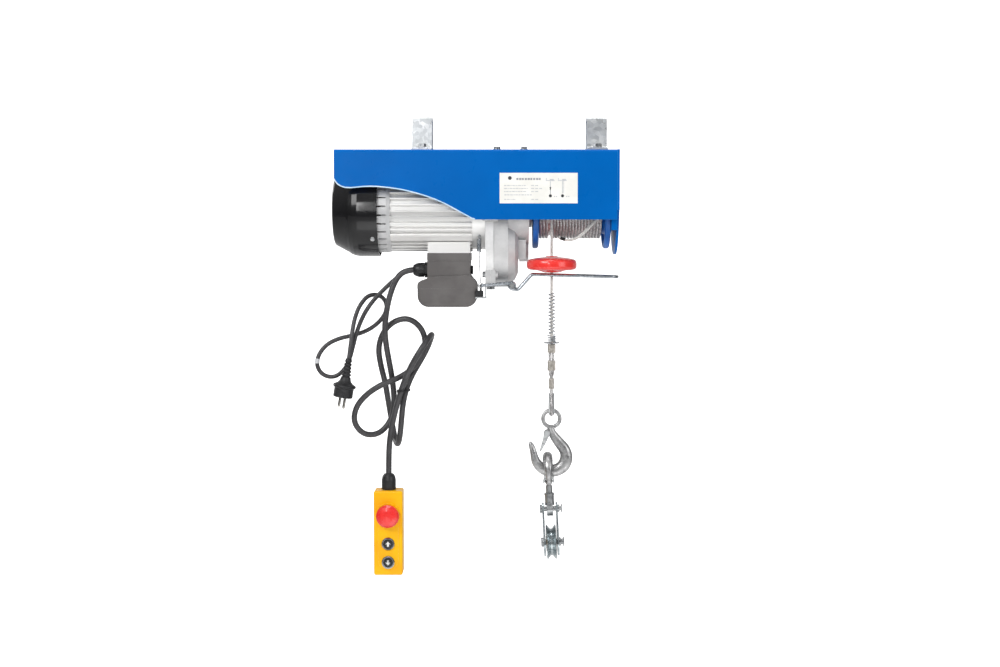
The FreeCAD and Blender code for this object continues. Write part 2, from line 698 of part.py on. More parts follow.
# ball bearings, all of one size 15 x 35 x 11: outer ring, inner ring, balls
def bearing(x, z):
    outer = ring(17.5, 14.6, 11.0, x, 0, z, "x")
    inner = ring(10.4, 7.53, 11.0, x, 0, z, "x")
    cage_ = ring(14.0, 11.0, 3.0, Q.of(x) + 4.0, 0, z, "x")
    return [outer, inner, cage_]


brg = []
for bx, bz in ((-220.0, AZ), (-50.5, AZ), (-36.0, CZ), (19.5, CZ), (20.5, AZ), (177.2, AZ)):
    brg += bearing(bx, bz)
node("ball_bearings", group(*brg))

# --------------------------------------------------------------------------
# 4. gearbox: flange on the motor, deep casing towards the drum
# --------------------------------------------------------------------------
def lobe_block(x0, x1, r_up, r_lo):
    """Two discs joined by their tangent flanks."""
    a = cyl(r_up, Q.of(x1) - x0, x0, 0, AZ, "x")
    b = cyl(r_lo, Q.of(x1) - x0, x0, 0, CZ, "x")
    c = box(Q.of(x1) - x0, 2 * r_up, d.mesh_c, x0, -r_up, CZ)
    return fuse(a, b, c)


front = lobe_block(d.fl_x0, d.fl_x1, d.cas_r, d.low_r)
LUGS = [(-46.0, -264.5), (46.0, -264.5), (-72.0, -168.0), (72.0, -168.0)]
foot_f = span(d.fl_x0, d.fl_x1, d.rope_y - 7.5, d.rope_y + 7.5, -281.9, -255.0)
lugs_f = [cyl(6.0, d.fl_x1 - d.fl_x0, d.fl_x0, ly, lz, "x") for ly, lz in LUGS]
lugs_f += [span(d.fl_x0, d.fl_x1, min(s_ * 50.0, s_ * 72.0), max(s_ * 50.0, s_ * 72.0), -174.0, -162.0) for s_ in (-1, 1)]
hub_f = cyl(22.0, 16.0, d.fl_x0, 0, CZ, "x")
fcut = [cyl(17.55, 11.2, -50.6, 0, AZ, "x"), cyl(9.5, 40.0, -60.0, 0, AZ, "x"),
        cyl(17.55, 12.0, -36.1, 0, CZ, "x"), cyl(2.6, 13.0, -35.2, d.rope_y, -282.5)]
fcut += [cyl(2.6, 30.0, -60.0, ly, lz, "x") for ly, lz in LUGS]
seat_ring = cyl(26.0, 14.0, -51.5, 0, AZ, "x")
spig = ring(d.bore_r - 0.1, 50.0, 8.0, d.fl_x0 - 8.0, 0, AZ, "x")
spokes = [span(-51.5, d.fl_x0, -4.0, 4.0, AZ - 53.0, AZ + 53.0), span(-51.5, d.fl_x0, -53.0, 53.0, AZ - 4.0, AZ + 4.0)]
node("front_flange", cut(fuse(front, foot_f, hub_f, seat_ring, spig, *(spokes + lugs_f)), *fcut))

outer_c = lobe_block(d.cas_x0, d.cas_x2, d.cas_r, d.low_r)
lobe_nose = rev([(0, 0), (63.0, 0), (56.0, 12.0), (44.0, 17.7), (0, 17.7)], d.cas_x2, 0, CZ, "x")
boss = cyl(d.boss_r, d.boss_x1 - d.cas_x2, d.cas_x2, 0, AZ, "x")
bossn = cyl(28.0, 5.0, d.boss_x1, 0, AZ, "x")
lowblk = span(d.cas_x2, 28.0, -40.0, 40.0, -238.0, -205.0)
low_lug = span(d.cas_x0, -24.0, d.rope_y - 7.5, d.rope_y + 7.5, -281.9, -255.0)
lugs_c = [cyl(6.0, 12.0, d.cas_x0, ly, lz, "x") for ly, lz in LUGS]
lugs_c += [span(d.cas_x0, d.cas_x0 + 12.0, min(s_ * 59.0, s_ * 72.0), max(s_ * 59.0, s_ * 72.0), -174.0, -162.0) for s_ in (-1, 1)]
saddle = span(-30.0, 31.0, -72.0, 72.0, -64.0, -56.1)
saddle_web = span(-16.0, 18.0, -46.0, 46.0, -122.0, -60.0)
cavity1 = fuse(cyl(d.cas_r - d.wall, d.cas_x2 - d.cas_x0 - 0.5, d.cas_x0 - 1.0, 0, AZ, "x"),
               cyl(d.low_r - d.wall, d.cas_x2 - d.cas_x0 - 0.5, d.cas_x0 - 1.0, 0, CZ, "x"),
               box(d.cas_x2 - d.cas_x0 - 0.5, 2 * (d.cas_r - d.wall), d.mesh_c, d.cas_x0 - 1.0, -(d.cas_r - d.wall), CZ))
cavity2 = cyl(57.3, 18.0, d.cas_x2 - 5.0, 0, AZ, "x")
cavity3 = cyl(20.0, 20.0, d.cas_x2 - 5.0, 0, CZ, "x")
bore_o = cyl(17.55, 11.2, 20.4, 0, AZ, "x")
bore_o2 = cyl(10.2, 40.0, 5.0, 0, AZ, "x")
bore_c = cyl(17.55, 11.6, 19.4, 0, CZ, "x")
bore_c2 = cyl(11.5, 12.0, 8.0, 0, CZ, "x")
cap_c = cyl(24.0, 16.0, 17.0, 0, CZ, "x")
cas = fuse(outer_c, lobe_nose, boss, bossn, lowblk, cap_c, low_lug, saddle, saddle_web, *lugs_c)
cas_holes = [cyl(2.6, 13.5, -33.0, ly, lz, "x") for ly, lz in LUGS]
cas_holes += [cyl(2.6, 13.0, -28.6, d.rope_y, -282.5)]
FRAME_BOLTS = [(-21.4, -62.0), (24.0, -62.0), (-21.4, 62.0), (24.0, 62.0)]
cas_holes += [cyl(3.05, 20.0, bx, by, -70.0) for bx, by in FRAME_BOLTS]
node("gearbox_casing", cut(cas, cavity1, cavity2, cavity3, bore_o, bore_o2, bore_c, bore_c2, *cas_holes))

# screws of the drive: gearbox lugs, frame bolts, bracket bolts, fan cover
screws = []
for ly, lz in LUGS:
    screws.append(fuse(cyl(2.5, 20.5, d.fl_x0 - 0.2, ly, lz, "x"), cut(cyl(4.4, 4.8, d.fl_x0 - 0.05, ly, lz, "-x"), hexa(4.2, 3.0, d.fl_x0 - 2.2, ly, lz, "-x"))))
for bx, by in FRAME_BOLTS:
    screws.append(fuse(cyl(3.0, 15.0, bx, by, d.frame_top + 0.2, "-z"), cyl(6.4, 1.3, bx, by, d.frame_top + 0.02), hexa(10.0, 4.0, bx, by, d.frame_top + 1.3)))
for bx in (-35.2, -28.6):
    screws.append(fuse(cyl(2.5, 16.0, bx, d.rope_y, -286.0), hexa(5.8, 4.6, bx, d.rope_y, -289.55)))
for a in (38.5, 158.5, 278.5):
    q = math.radians(a)
    r_ = Rotation(Vector(0, 0, 1), Vector(0, -math.cos(q), -math.sin(q)))
    sh_ = seat(cyl(2.1, 9.0, 0, 0, 0), -232.5, -math.cos(q) * 70.0, n(AZ) - math.sin(q) * 70.0, r_)
    hd_ = seat(cone(4.3, 3.4, 2.0, 0, 0, 0), -232.5, -math.cos(q) * (n(d.cover_r) + 0.05), n(AZ) - math.sin(q) * (n(d.cover_r) + 0.05), r_)
    screws.append(fuse(sh_, hd_))
node("drive_screws", group(*screws))

# countershaft: gear of 74 teeth, cut pinion of 12
cs = rev([(0, 0), (7.5, 0), (7.5, 11.1), (9.5, 11.1), (9.5, 24.0), (7.3, 24.0), (7.3, 48.0), (7.5, 48.0), (7.5, 65.5), (0, 65.5)],
         -36.0, 0, CZ, "x")
gear_rot = Rotation(Vector(0, 0, -1), Vector(0, 1, 0), Vector(1, 0, 0), "ZXY")
pin2 = raw(involute_gear(12, n(d.gear_mod), 16.0, 180.0, 0.30, 0.78, 1.10))
seat(pin2, -5.5, 0, CZ, gear_rot)
node("countershaft", fuse(cs, pin2))
g74 = involute_gear(74, n(d.gear_mod), 12.0, 180.0 / 74.0 + 180.0, 0.30, 0.78, 1.15)
g74 = g74.cut(Part.makeCylinder(9.52, 14.0, Vector(0, 0, -1)))
for k in range(6):
    a = math.radians(60 * k + 30)
    g74 = g74.cut(Part.makeCylinder(11.0, 14.0, Vector(33 * math.cos(a), 33 * math.sin(a), -1)))
g74o = raw(g74)
seat(g74o, -24.0, 0, CZ, gear_rot)
node("countershaft_gear", g74o)

# output gear of 73 teeth on the drum shaft
g73 = involute_gear(73, n(d.gear_mod), 13.0, 180.0 / 73.0, 0.30, 0.78, 1.15)
g73 = g73.cut(Part.makeCylinder(9.02, 15.0, Vector(0, 0, -1)))
g73o = raw(g73)
seat(g73o, -4.0, 0, AZ, gear_rot)
node("output_gear", g73o)
ds = rev([(0, 0), (9.0, 0), (9.0, 17.4), (10.0, 17.4), (10.0, 28.0), (7.5, 28.0), (7.5, 40.0), (10.0, 40.0), (10.0, 180.5), (7.5, 180.5), (7.5, 198.5), (0, 198.5)],
         -8.0, 0, AZ, "x")
node("drum_shaft", ds)

# --------------------------------------------------------------------------
# 5. drum, wound rope, loose rope end
# --------------------------------------------------------------------------
DL = d.drum_x1 - d.drum_x0
ft = d.drum_fl_th
drum = rev([(10.02, 0), (d.drum_fl_r - 1.5, 0), (d.drum_fl_r, 1.5), (d.drum_fl_r, 7.5), (d.drum_fl_r - 2.5, 10.0), (d.drum_fl_r - 5.0, 10.0),
            (d.drum_fl_r - 9.0, ft), (d.core_r + 4, ft), (d.core_r, 13.0), (d.core_r, DL - 13.0), (d.core_r + 4, DL - ft), (d.drum_fl_r - 9.0, DL - ft),
            (d.drum_fl_r - 5.0, DL - 10.0), (d.drum_fl_r - 2.5, DL - 10.0), (d.drum_fl_r, DL - 7.5), (d.drum_fl_r, DL - 1.5), (d.drum_fl_r - 1.5, DL),
            (10.02, DL), (10.02, DL - 12.0), (33.0, DL - 12.0), (33.0, 12.0), (10.02, 12.0)], d.drum_x0, 0, AZ, "x")
node("rope_drum", drum)
prof = [(d.core_r + 0.05, 0)]
turns = 20
pitch = (d.wind_x1 - d.wind_x0) / turns
# the rope leaves the drum from its last turn, which lies on the inner layer
fall = n(d.rope_x) - n(d.wind_x0)
g0, g1 = fall - 2.9, fall + 2.9
low_ = d.wind_r - 5.1
state_low = False
for k in range(turns):
    for f, dr in ((0.0, 1.3), (0.15, 0.55), (0.5, 0.0), (0.85, 0.55)):
        at = n(pitch) * (k + f)
        if at <= g0 - 0.4 or at >= g1 + 0.4:
            if state_low and at >= g1:
                prof.append((low_, g1))
                prof.append((d.wind_r - 1.0, g1))
                state_low = False
            prof.append((d.wind_r - dr, pitch * (k + f)))
        elif not state_low:
            prof.append((d.wind_r - 1.0, g0))
            prof.append((low_, g0))
            state_low = True
prof += [(d.wind_r - 1.3, pitch * turns), (d.core_r + 0.05, pitch * turns)]
node("rope_windings", rev(prof, d.wind_x0, 0, AZ, "x"))

tail_pts = [(167.4, -51.5, -160.5), (156.5, -54.0, -164.5), (146.0, -55.2, -172.0), (135.5, -56.5, -184.0), (124.0, -57.0, -195.0), (112.0, -57.0, -203.5),
            (99.5, -56.5, -206.3), (85.0, -55.5, -201.5)]
tl, tlen, trs = tube(tail_pts, n(d.rope_d) / 2)
node("rope_tail", raw(tl))

# --------------------------------------------------------------------------
# 6. terminal box on its pedestal
# --------------------------------------------------------------------------
ped = span(d.ped_x0, d.ped_x1, -d.ped_y, d.ped_y, d.ped_z0, d.ped_z1)
ped_win = span(d.ped_x0 + 14.0, d.ped_x1 - 14.0, -18.0, 18.0, d.ped_z0 - 5.0, d.ped_z1)
node("pedestal", cut(ped, cyl(d.fin_r + 0.6, 120.0, -160.0, 0, AZ, "x"), ped_win))

bt = d.box_th
up_out = span(d.ped_x0, d.ped_x1, -d.box_y, d.box_y, d.box_z1, d.ped_z0 - 0.05)
flare = pad([[(0, 0), (0, 5.3), (0.4, 8.3), (2.2, 11.3), (6.2, 13.7), (11.7, 15.5), (16.2, 17.3), (18.0, 20.3), (90.5, 23.3), (93.7, 18.3),
              (98.2, 13.8), (101.2, 9.3), (102.5, 4.3), (102.5, 0)]], 2 * d.box_y + 4.0, -157.7, d.box_y + 2.0, d.box_seam, "-y")
collar = span(d.ped_x0 - 1.2, d.ped_x1 + 1.2, -d.box_y - 1.2, d.box_y + 1.2, -240.5, -227.4)
gland_plate = span(d.ped_x0 - 1.3, d.ped_x0, -40.0, 40.0, -272.0, -241.0)
box_solid = fuse(up_out, flare, collar, gland_plate)
up_in = span(d.ped_x0 + bt, d.ped_x1 - bt, -d.box_y + bt, d.box_y - bt, d.box_z1 - 5.5, d.ped_z0 - bt)
fl_in = span(-152.5, -60.5, -d.box_y - 2.0 + bt, d.box_y + 2.0 - bt, d.box_seam - 1.0, -277.3)
gland_holes = [cyl(9.55, 16.0, d.ped_x0 - 8.0, gy, -256.4, "x") for gy in (-20.0, 18.0)]
wire_hole = cyl(12.0, 10.0, -103.0, 0, d.ped_z0 - 5.0)
node("terminal_box", cut(box_solid, up_in, fl_in, wire_hole, *gland_holes))

cov_out = span(-157.7, -55.2, -d.box_y - 2.0, d.box_y + 2.0, d.box_z0, d.box_seam - 0.05)
cov_f = fillet(cov_out, 19.5, lambda c, t, e: abs(t.y) > 0.9 and c.z < -310)
cov_f = fillet(cov_f, 6.0, lambda c, t, e: c.z < -300 and abs(t.y) < 0.5 and abs(abs(c.y) - 46.0) < 2.0)
cov_in = span(-157.7 + bt, -55.2 - bt, -d.box_y - 2.0 + bt, d.box_y + 2.0 - bt, d.box_z0 + bt, d.box_seam + 1.0)
cov_in = fillet(cov_in, 17.0, lambda c, t, e: abs(t.y) > 0.9 and c.z < -310)
node("box_cover", cut(cov_f, cov_in))
node("run_capacitor", rev([(0, 0), (15.5, 0), (17.5, 2.0), (17.5, 58.0), (15.5, 60.0), (4.0, 60.0), (4.0, 64.0), (0, 64.0)], -143.0, 6.0, -296.5, "x"))


def gland(x, y, z, ax, s=1.0, cable=5.0):
    """Body with hexagon, domed cap nut and a bored seal; axis from the wall."""
    sx = -1 if ax == "-x" else 0
    sz = 1 if ax == "z" else 0
    def at(k):
        return (Q.of(x) + sx * k, y, Q.of(z) + sz * k)
    a = hexa(23.0 * s, 5.0, *at(0.0), ax)
    b = cyl(8.9 * s, 11.0, *at(0.0), ax)
    c = rev([(0, 0), (12.4 * s, 0), (12.4 * s, 9.0), (10.8 * s, 14.0), (8.0 * s, 18.5), (0, 18.5)], *at(6.2), ax)
    back = {"-x": "x", "z": "-z"}[ax]
    t = cyl(9.5 * s, 9.0, *at(0.0), back)
    lock = hexa(24.0 * s, 3.5, *at(-3.95), back)
    body = fuse(a, b, c, t, lock)
    lo = at(-12.0)
    return cut(body, cyl(cable, 36.9, *lo, ax))


node("cable_glands", group(gland(d.ped_x0 - 1.3, -20.0, -256.4, "-x", 1.0, 5.05), gland(d.ped_x0 - 1.3, 18.0, -256.4, "-x", 0.92, 3.80)))

# --------------------------------------------------------------------------
# 7. limit stop: bracket, pin, lever, spring, switch, disc
# --------------------------------------------------------------------------
px_, pz_ = d.lev_px, d.lev_pz
br_strap = span(-39.5, px_, d.rope_y - 7.5, d.rope_y + 7.5, -284.9, -281.95)
br_eye = cyl(5.2, 15.0, px_, d.rope_y - 7.5, pz_, "y")
br_pad = span(-58.5, -39.4, -53.2, -46.8, -304.8, -302.3)
br_web = span(-41.8, -39.3, -53.2, -46.8, -304.8, -281.95)
br = fuse(br_strap, br_eye, br_pad, br_web)
br_holes = [cyl(2.6, 12.0, bx, d.rope_y, -290.0) for bx in (-35.2, -28.6)]
node("lever_bracket", cut(br, cyl(2.5, 20.0, px_, d.rope_y - 10, pz_, "y"), *br_holes))
pinp = [cyl(2.44, 31.0, px_, d.rope_y - 15.6, pz_, "y"), cyl(4.2, 2.0, px_, d.rope_y - 17.5, pz_, "y"),
        ring(4.0, 2.2, 1.2, px_, d.rope_y + 14.4, pz_, "y")]
node("lever_pivot_pin", fuse(*pinp))


def lever():
    x, z = n(px_), n(pz_)
    yc, h, r = n(d.rope_y), n(d.leg_half), n(d.wire_d) / 2
    solids = []
    for s in (-1, 1):
        y = yc + s * h
        eye = Part.makeCylinder(7.8, 5.6, Vector(x, y - 2.8, z), Vector(0, 1, 0))
        solids.append(eye)
    # right-hand hairpin: two legs and the closing bend
    y1, y2 = yc - h, yc + h
    pts = [(x - 0.8, y1, z - 4.95), (14.8, y1, z - 6.3), (37.8, y1, -263.4), (176.6, y1, -267.2), (183.6, y1 + 7.0, -267.45), (183.6, y2 - 7.0, -267.45), (176.6, y2, -267.2),
           (37.8, y2, -263.4), (14.8, y2, z - 6.3), (x - 0.8, y2, z - 4.95)]
    w, L, rs = tube(pts, r, radii={1: 6.0, 2: 8.0, 3: 7.5, 4: 7.5, 5: 7.5, 6: 7.5, 7: 8.0, 8: 6.0})
    solids.append(w)
    # left-hand bow: two legs and the closing bar
    pts = [(x, y1, z + 4.9), (-49.0, y1, z), (-49.0, y2, z), (x, y2, z + 4.9)]
    w2, L2, rs2 = tube(pts, r, radii={1: 4.5, 2: 4.5})
    solids.append(w2)
    out = solids[0].multiFuse(solids[1:])
    return out.cut(Part.makeCylinder(2.5, 60, Vector(x, yc - 30, z), Vector(0, 1, 0)))


node("limit_lever", raw(lever()))


def coil(radius, wire, pitch, turns_, x, y, z):
    """Open coil about Z from z upwards, square to its axis at both ends."""
    h = Part.makeHelix(pitch, pitch * turns_, radius)
    prof_ = Part.Wire([Part.Circle(Vector(radius, 0, 0), Vector(0, 1, pitch / (2 * math.pi * radius)), wire / 2).toShape()])
    s = Part.Wire(h).makePipeShell([prof_], True, True)
    s.translate(Vector(x, y, z))
    return s


def lever_spring():
    x, y = -52.0, n(d.rope_y) - 6.5
    body = coil(3.4, 1.3, 1.75, 12, x, y, -225.0)
    up = cyl_between((x, y, -203.9), (x, y + 1.0, -197.6), 0.65)
    cross1 = cyl_between((x, y, -203.9), (x + 3.4, y, -204.0), 0.65)
    cross2 = cyl_between((x, y, -225.0), (x + 3.4, y, -225.0), 0.65)
    link = cyl_between((x, y, -225.0), (-49.6, y, -278.5), 0.65)
    eye = Part.makeTorus(4.0, 0.65, Vector(-49.0, y, -282.5), Vector(0, 1, 0))
    caps = [Part.makeSphere(0.65, Vector(x, y, -203.9)), Part.makeSphere(0.65, Vector(x, y, -225.0))]
    return body.multiFuse([up, cross1, cross2, link, eye] + caps)


node("lever_spring", raw(lever_spring()))
SWY = -50.2
sw = span(-58.2, -44.6, SWY - 3.6, SWY + 3.6, -302.25, -291.4)
sw_f = fillet(sw, 0.9, lambda c, t, e: True)
node("limit_switch", cut(sw_f, cyl(1.75, 12.6, -49.0, SWY + 1.3, -301.6)))
node("switch_plunger", rev([(0, 0), (1.6, 0), (1.6, 9.8), (1.1, 10.4), (0, 10.4)], -49.0, SWY + 1.3, -296.5, "z"))

disc = rev([(d.disc_bore, 0), (10.5, 0), (13.5, 0.8), (29.0, 4.9), (37.6, 7.9), (40.6, 9.6), (42.1, 11.4), (d.disc_r, 13.6), (d.disc_r, 18.0),
            (42.1, 20.2), (40.6, 21.9), (37.6, 23.2), (28.0, 25.2), (16.0, 26.6), (11.6, 27.0), (9.6, 28.3), (d.disc_bore, 28.3)],
           d.rope_x, d.rope_y, -260.9, "z")
node("limit_disc", disc)

# --------------------------------------------------------------------------
# 8. load line: rope, buffer spring, ferrules, eye, hook
# --------------------------------------------------------------------------
RX, RY = n(d.rope_x), n(d.rope_y)
node("rope_fall", cyl(d.rope_d / 2, d.axis_z - 0.4 - d.fer1_z1, d.rope_x, d.rope_y, d.fer1_z1, "z"))
small = coil(5.2, 1.6, 5.95, 11.9, RX, RY, -367.0)
big = coil(6.9, 1.6, 3.1, 3.5, RX, RY, -379.2)
node("buffer_spring", group(raw(small), raw(big)))
fw = ring(14.0, 2.6, 1.5, d.rope_x, d.rope_y, -381.6, "z")


def ferrule(z0, z1, wide, deep, x, y):
    a = pad([[(1.5, 0), (wide - 1.5, 0), (wide, 1.5), (wide, deep - 1.5), (wide - 1.5, deep), (1.5, deep), (0, deep - 1.5), (0, 1.5)]],
            Q.of(z1) - z0, x - wide / 2.0, y - deep / 2.0, z0)
    return a


def bored(obj, z0, z1, x, y, dx, dy):
    h = Q.of(z1) - z0 + 2.0
    return cut(obj, cyl(2.53, h, x - dx, y - dy, Q.of(z0) - 1.0), cyl(2.53, h, x + dx, y + dy, Q.of(z0) - 1.0))


f1 = bored(ferrule(d.fer1_z0, d.fer1_z1, 14.0, 9.0, RX, RY), d.fer1_z0, d.fer1_z1, RX, RY, 2.75, 0.0)
f2 = bored(ferrule(d.fer2_z0, d.fer2_z1, 14.0, 9.0, RX, RY), d.fer2_z0, d.fer2_z1, RX, RY, 2.75, 0.0)
f3 = bored(ferrule(d.fer3_z0, d.fer3_z1, 9.0, 14.0, RX, RY), d.fer3_z0, d.fer3_z1, RX, RY, 0.0, 2.75)
node("rope_ferrules", group(f1, f2, f3, fw))

# doubled rope through the ferrules and round the thimble (loop in the YZ plane)
ez = -492.6
def rope_loop():
    r = n(d.rope_d) / 2
    out = []
    R = 12.4
    # legs: side by side in X through the upper ferrules, turning to Y below
    top = n(d.fer1_z1) - 0.4
    def leg(s_):
        return [(RX + s_ * 2.75, RY, top), (RX + s_ * 2.75, RY, -428.9), (RX + 1.98 * s_, RY + s_ * 1.98, -435.0), (RX, RY + s_ * 2.75, -441.2),
                (RX, RY + s_ * 2.80, -463.5), (RX, RY + s_ * R, -486.0), (RX, RY + s_ * (R + 0.25), -505.0)]
    pts = leg(-1) + leg(1)[::-1]
    rad = {1: 12.0, 2: 12.0, 3: 12.0, 4: 20.0, 5: 20.0, 6: 12.3, 7: 12.3, 8: 20.0, 9: 20.0, 10: 12.0, 11: 12.0, 12: 12.0}
    return tube(pts, r, radii=rad)[0]


node("rope_eye", raw(rope_loop()))


def thimble():
    pts = [(RX, RY - 4.2, -468.5), (RX, RY - 10.2, -486.0), (RX, RY - 10.4, -502.9), (RX, RY + 10.4, -502.9), (RX, RY + 10.2, -486.0), (RX, RY + 4.2, -468.5)]
    wire, L, rs = tube_path(pts, radii={1: 16.0, 2: 10.1, 3: 10.1, 4: 16.0})
    # section: shallow gutter 9.6 wide in X
    a = Vector(*pts[0])
    tdir = Vector(*pts[1]) - a
    tdir.normalize()
    ex = Vector(1, 0, 0)
    nrm = tdir.cross(ex)
    if nrm.y < 0:
        nrm = nrm * -1      # towards the inside of the eye
    def P(u, v):
        return a + ex * u + nrm * v
    prof_ = Part.makePolygon([P(-4.7, -2.6), P(-3.4, -2.6), P(-2.2, 0.4), P(2.2, 0.4), P(3.4, -2.6), P(4.7, -2.6), P(2.1, 1.7), P(-2.1, 1.7), P(-4.7, -2.6)])
    return wire.makePipeShell([prof_], True, False)


node("thimble", raw(thimble()))


def forged(points, plane_x, org, up=1, sec=0.9):
    """Loft of oval sections along a plane centre line.
    points: (u, w, half width in plane, half thickness).  plane_x is the
    direction of u; w runs along +Z times up."""
    ux = Vector(*plane_x)
    uz = Vector(0, 0, up)
    nn = ux.cross(uz)
    cs_ = [Vector(*org) + ux * p[0] + uz * p[1] for p in points]
    wires = []
    m = len(points)
    for k in range(m):
        if k == 0:
            t = cs_[1] - cs_[0]
        elif k == m - 1:
            t = cs_[-1] - cs_[-2]
        else:
            t = (cs_[k + 1] - cs_[k]).normalize() + (cs_[k] - cs_[k - 1]).normalize()
        t.normalize()
        side = t.cross(nn)
        side.normalize()
        a, b = points[k][2], points[k][3]
        ring_pts = []
        for j in range(20):
            f = 2 * math.pi * j / 20
            c, s = math.cos(f), math.sin(f)
            e = 0.84
            cc = math.copysign(abs(c) ** e, c)
            ss = math.copysign(abs(s) ** e, s)
            ring_pts.append(cs_[k] + side * (a * cc) + nn * (b * ss))
        sp = Part.BSplineCurve()
        sp.interpolate(ring_pts, PeriodicFlag=True)
        wires.append(Part.Wire([sp.toShape()]))
    return Part.makeLoft(wires, True, False)


# main hook in the XZ plane; bowl's inner bottom is the local origin
HX, HZ = 69.6, -591.1
hook_pts = [(1.8, 66.0, 5.6, 4.6), (2.6, 58.0, 6.6, 5.6), (7.4, 49.5, 7.6, 6.8), (16.2, 38.0, 9.0, 7.6), (25.2, 26.0, 9.8, 8.4), (28.2, 12.6, 10.6, 9.0),
            (22.6, -1.8, 10.9, 9.1), (13.2, -8.4, 10.6, 9.0), (1.0, -10.5, 10.3, 9.0), (-9.6, -8.2, 9.4, 8.6), (-18.4, -2.0, 8.6, 8.0), (-25.2, 8.4, 7.3, 7.0),
            (-28.4, 21.4, 5.7, 5.6), (-31.2, 31.2, 4.9, 4.6), (-33.4, 37.0, 3.0, 3.1), (-34.4, 39.8, 1.3, 1.5)]
hk = forged(hook_pts, (1, 0, 0), (HX, RY, HZ))
if hk.Volume < 0:
    hk.reverse()
ering = Part.makeCylinder(n(d.eye_or), n(d.eye_t), Vector(n(d.eye_x), RY - n(d.eye_t) / 2, n(d.eye_z)), Vector(0, 1, 0))
ehole = Part.makeCylinder(n(d.eye_ir), 30, Vector(n(d.eye_x), RY - 15, n(d.eye_z)), Vector(0, 1, 0))
ering = ering.cut(ehole)
ering = ering.makeFillet(2.6, [e for e in ering.Edges if e.Curve.TypeId == "Part::GeomCircle"])
eye_clear = Part.makeCylinder(n(d.eye_ir) - 0.0, 30, Vector(n(d.eye_x), RY - 15, n(d.eye_z)), Vector(0, 1, 0))
LPX, LPZ = 64.5, -536.0        # latch pivot in the hook's neck
lug_l = Part.makeCylinder(5.4, 10.0, Vector(LPX, RY - 5.0, LPZ), Vector(0, 1, 0)).fuse(Part.makeBox(8.5, 10.0, 10.0, Vector(LPX, RY - 5.0, LPZ - 4.6)))
hk_all = ering.fuse(hk.cut(eye_clear)).fuse(lug_l).cut(Part.makeCylinder(2.05, 40, Vector(LPX, RY - 20, LPZ), Vector(0, 1, 0)))
node("main_hook", raw(hk_all))


def make_latch(px, pz, ex, ez_, half, strip_from, plane="x"):
    """Latch in the XZ plane about RY: pivot, strip end, half width."""
    vec = Vector(ex - px, 0, ez_ - pz)
    L = vec.Length
    t = 1.4
    solids = [Part.makeCylinder(2.0, 2 * half + 2.4, Vector(0, -half - 1.2, 0), Vector(0, 1, 0)),
              Part.makeCylinder(3.4, 1.6, Vector(0, -half - 2.4, 0), Vector(0, 1, 0)),
              Part.makeCylinder(3.4, 1.6, Vector(0, half + 0.8, 0), Vector(0, 1, 0))]
    for s in (-1, 1):
        y0 = half if s > 0 else -half - t
        ear = Part.makeCylinder(5.0, t, Vector(0, y0, 0), Vector(0, 1, 0))
        pl = Part.Face(Part.makePolygon([Vector(0, y0, 5.0), Vector(strip_from + 6, y0, 3.4), Vector(L, y0, 0.7), Vector(L, y0, -0.7), Vector(strip_from, y0, -2.2), Vector(0, y0, -5.0), Vector(0, y0, 5.0)])).extrude(Vector(0, t, 0))
        solids += [ear, pl]
    strip = Part.makeBox(L - strip_from, 2 * half + 2 * t, t, Vector(strip_from, -half - t, -0.7))
    solids.append(strip)
    s = solids[0].multiFuse(solids[1:])
    return s, vec


lt, lv = make_latch(LPX, LPZ, 52.9, -567.1, 8.0, 13.0)
ang = math.degrees(math.atan2(-lv.z, lv.x))
lto = raw(lt, Placement(Vector(LPX, RY, LPZ), Rotation(Vector(0, 1, 0), ang)))
node("hook_latch", lto)

# --------------------------------------------------------------------------
# 9. pulley block: its hook stands upside down in the main hook's bowl
# --------------------------------------------------------------------------
BX = n(d.blk_x)
BZ = n(d.blk_top_z)            # inner crown of the block's hook
tilt = Rotation(Vector(0, 1, 0), -n(d.blk_tilt))
pvt = Vector(BX, RY, BZ)


def tilted(obj):
    """The block hangs a few degrees off the rope's line."""
    doc.recompute()
    p = obj.Placement
    q = Placement(pvt, tilt).multiply(Placement(pvt * -1.0, Rotation()))
    s = obj.Shape.copy()
    s.transformShape(q.toMatrix())
    return raw(s)



blk_pts = [(0.0, 35.2, 5.0, 5.0), (0.6, 31.5, 6.2, 6.0), (6.0, 28.6, 7.2, 6.6), (15.2, 24.2, 7.4, 7.2), (21.6, 15.2, 8.0, 7.8), (21.2, 2.6, 8.9, 8.2), (12.4, -7.0, 9.7, 8.4),
           (0.0, -10.9, 10.5, 8.4), (-12.0, -7.4, 9.4, 8.2), (-20.0, 1.6, 8.0, 7.4), (-22.6, 12.0, 6.4, 6.2), (-23.2, 21.0, 4.4, 4.6), (-24.2, 26.4, 2.8, 3.0), (-24.7, 28.8, 1.2, 1.4)]
bh = forged(blk_pts, (0, 1, 0), (BX, RY, BZ), up=-1)
if bh.Volume < 0:
    bh.reverse()
shank = Part.makeCylinder(4.0, 32.0, Vector(BX, RY, -653.8), Vector(0, 0, 1))
bhead = Part.makeCylinder(5.2, 4.0, Vector(BX, RY, -653.8), Vector(0, 0, 1))
BLY, BLZ = RY + 1.5, BZ - 29.8
bh_all = bh.fuse(shank.fuse(bhead)).cut(Part.makeCylinder(1.65, 40, Vector(BX - 20, BLY, BLZ), Vector(1, 0, 0)))
node("block_hook", tilted(raw(bh_all)))
EY2, EZ2 = RY - 17.2, BZ - 19.6


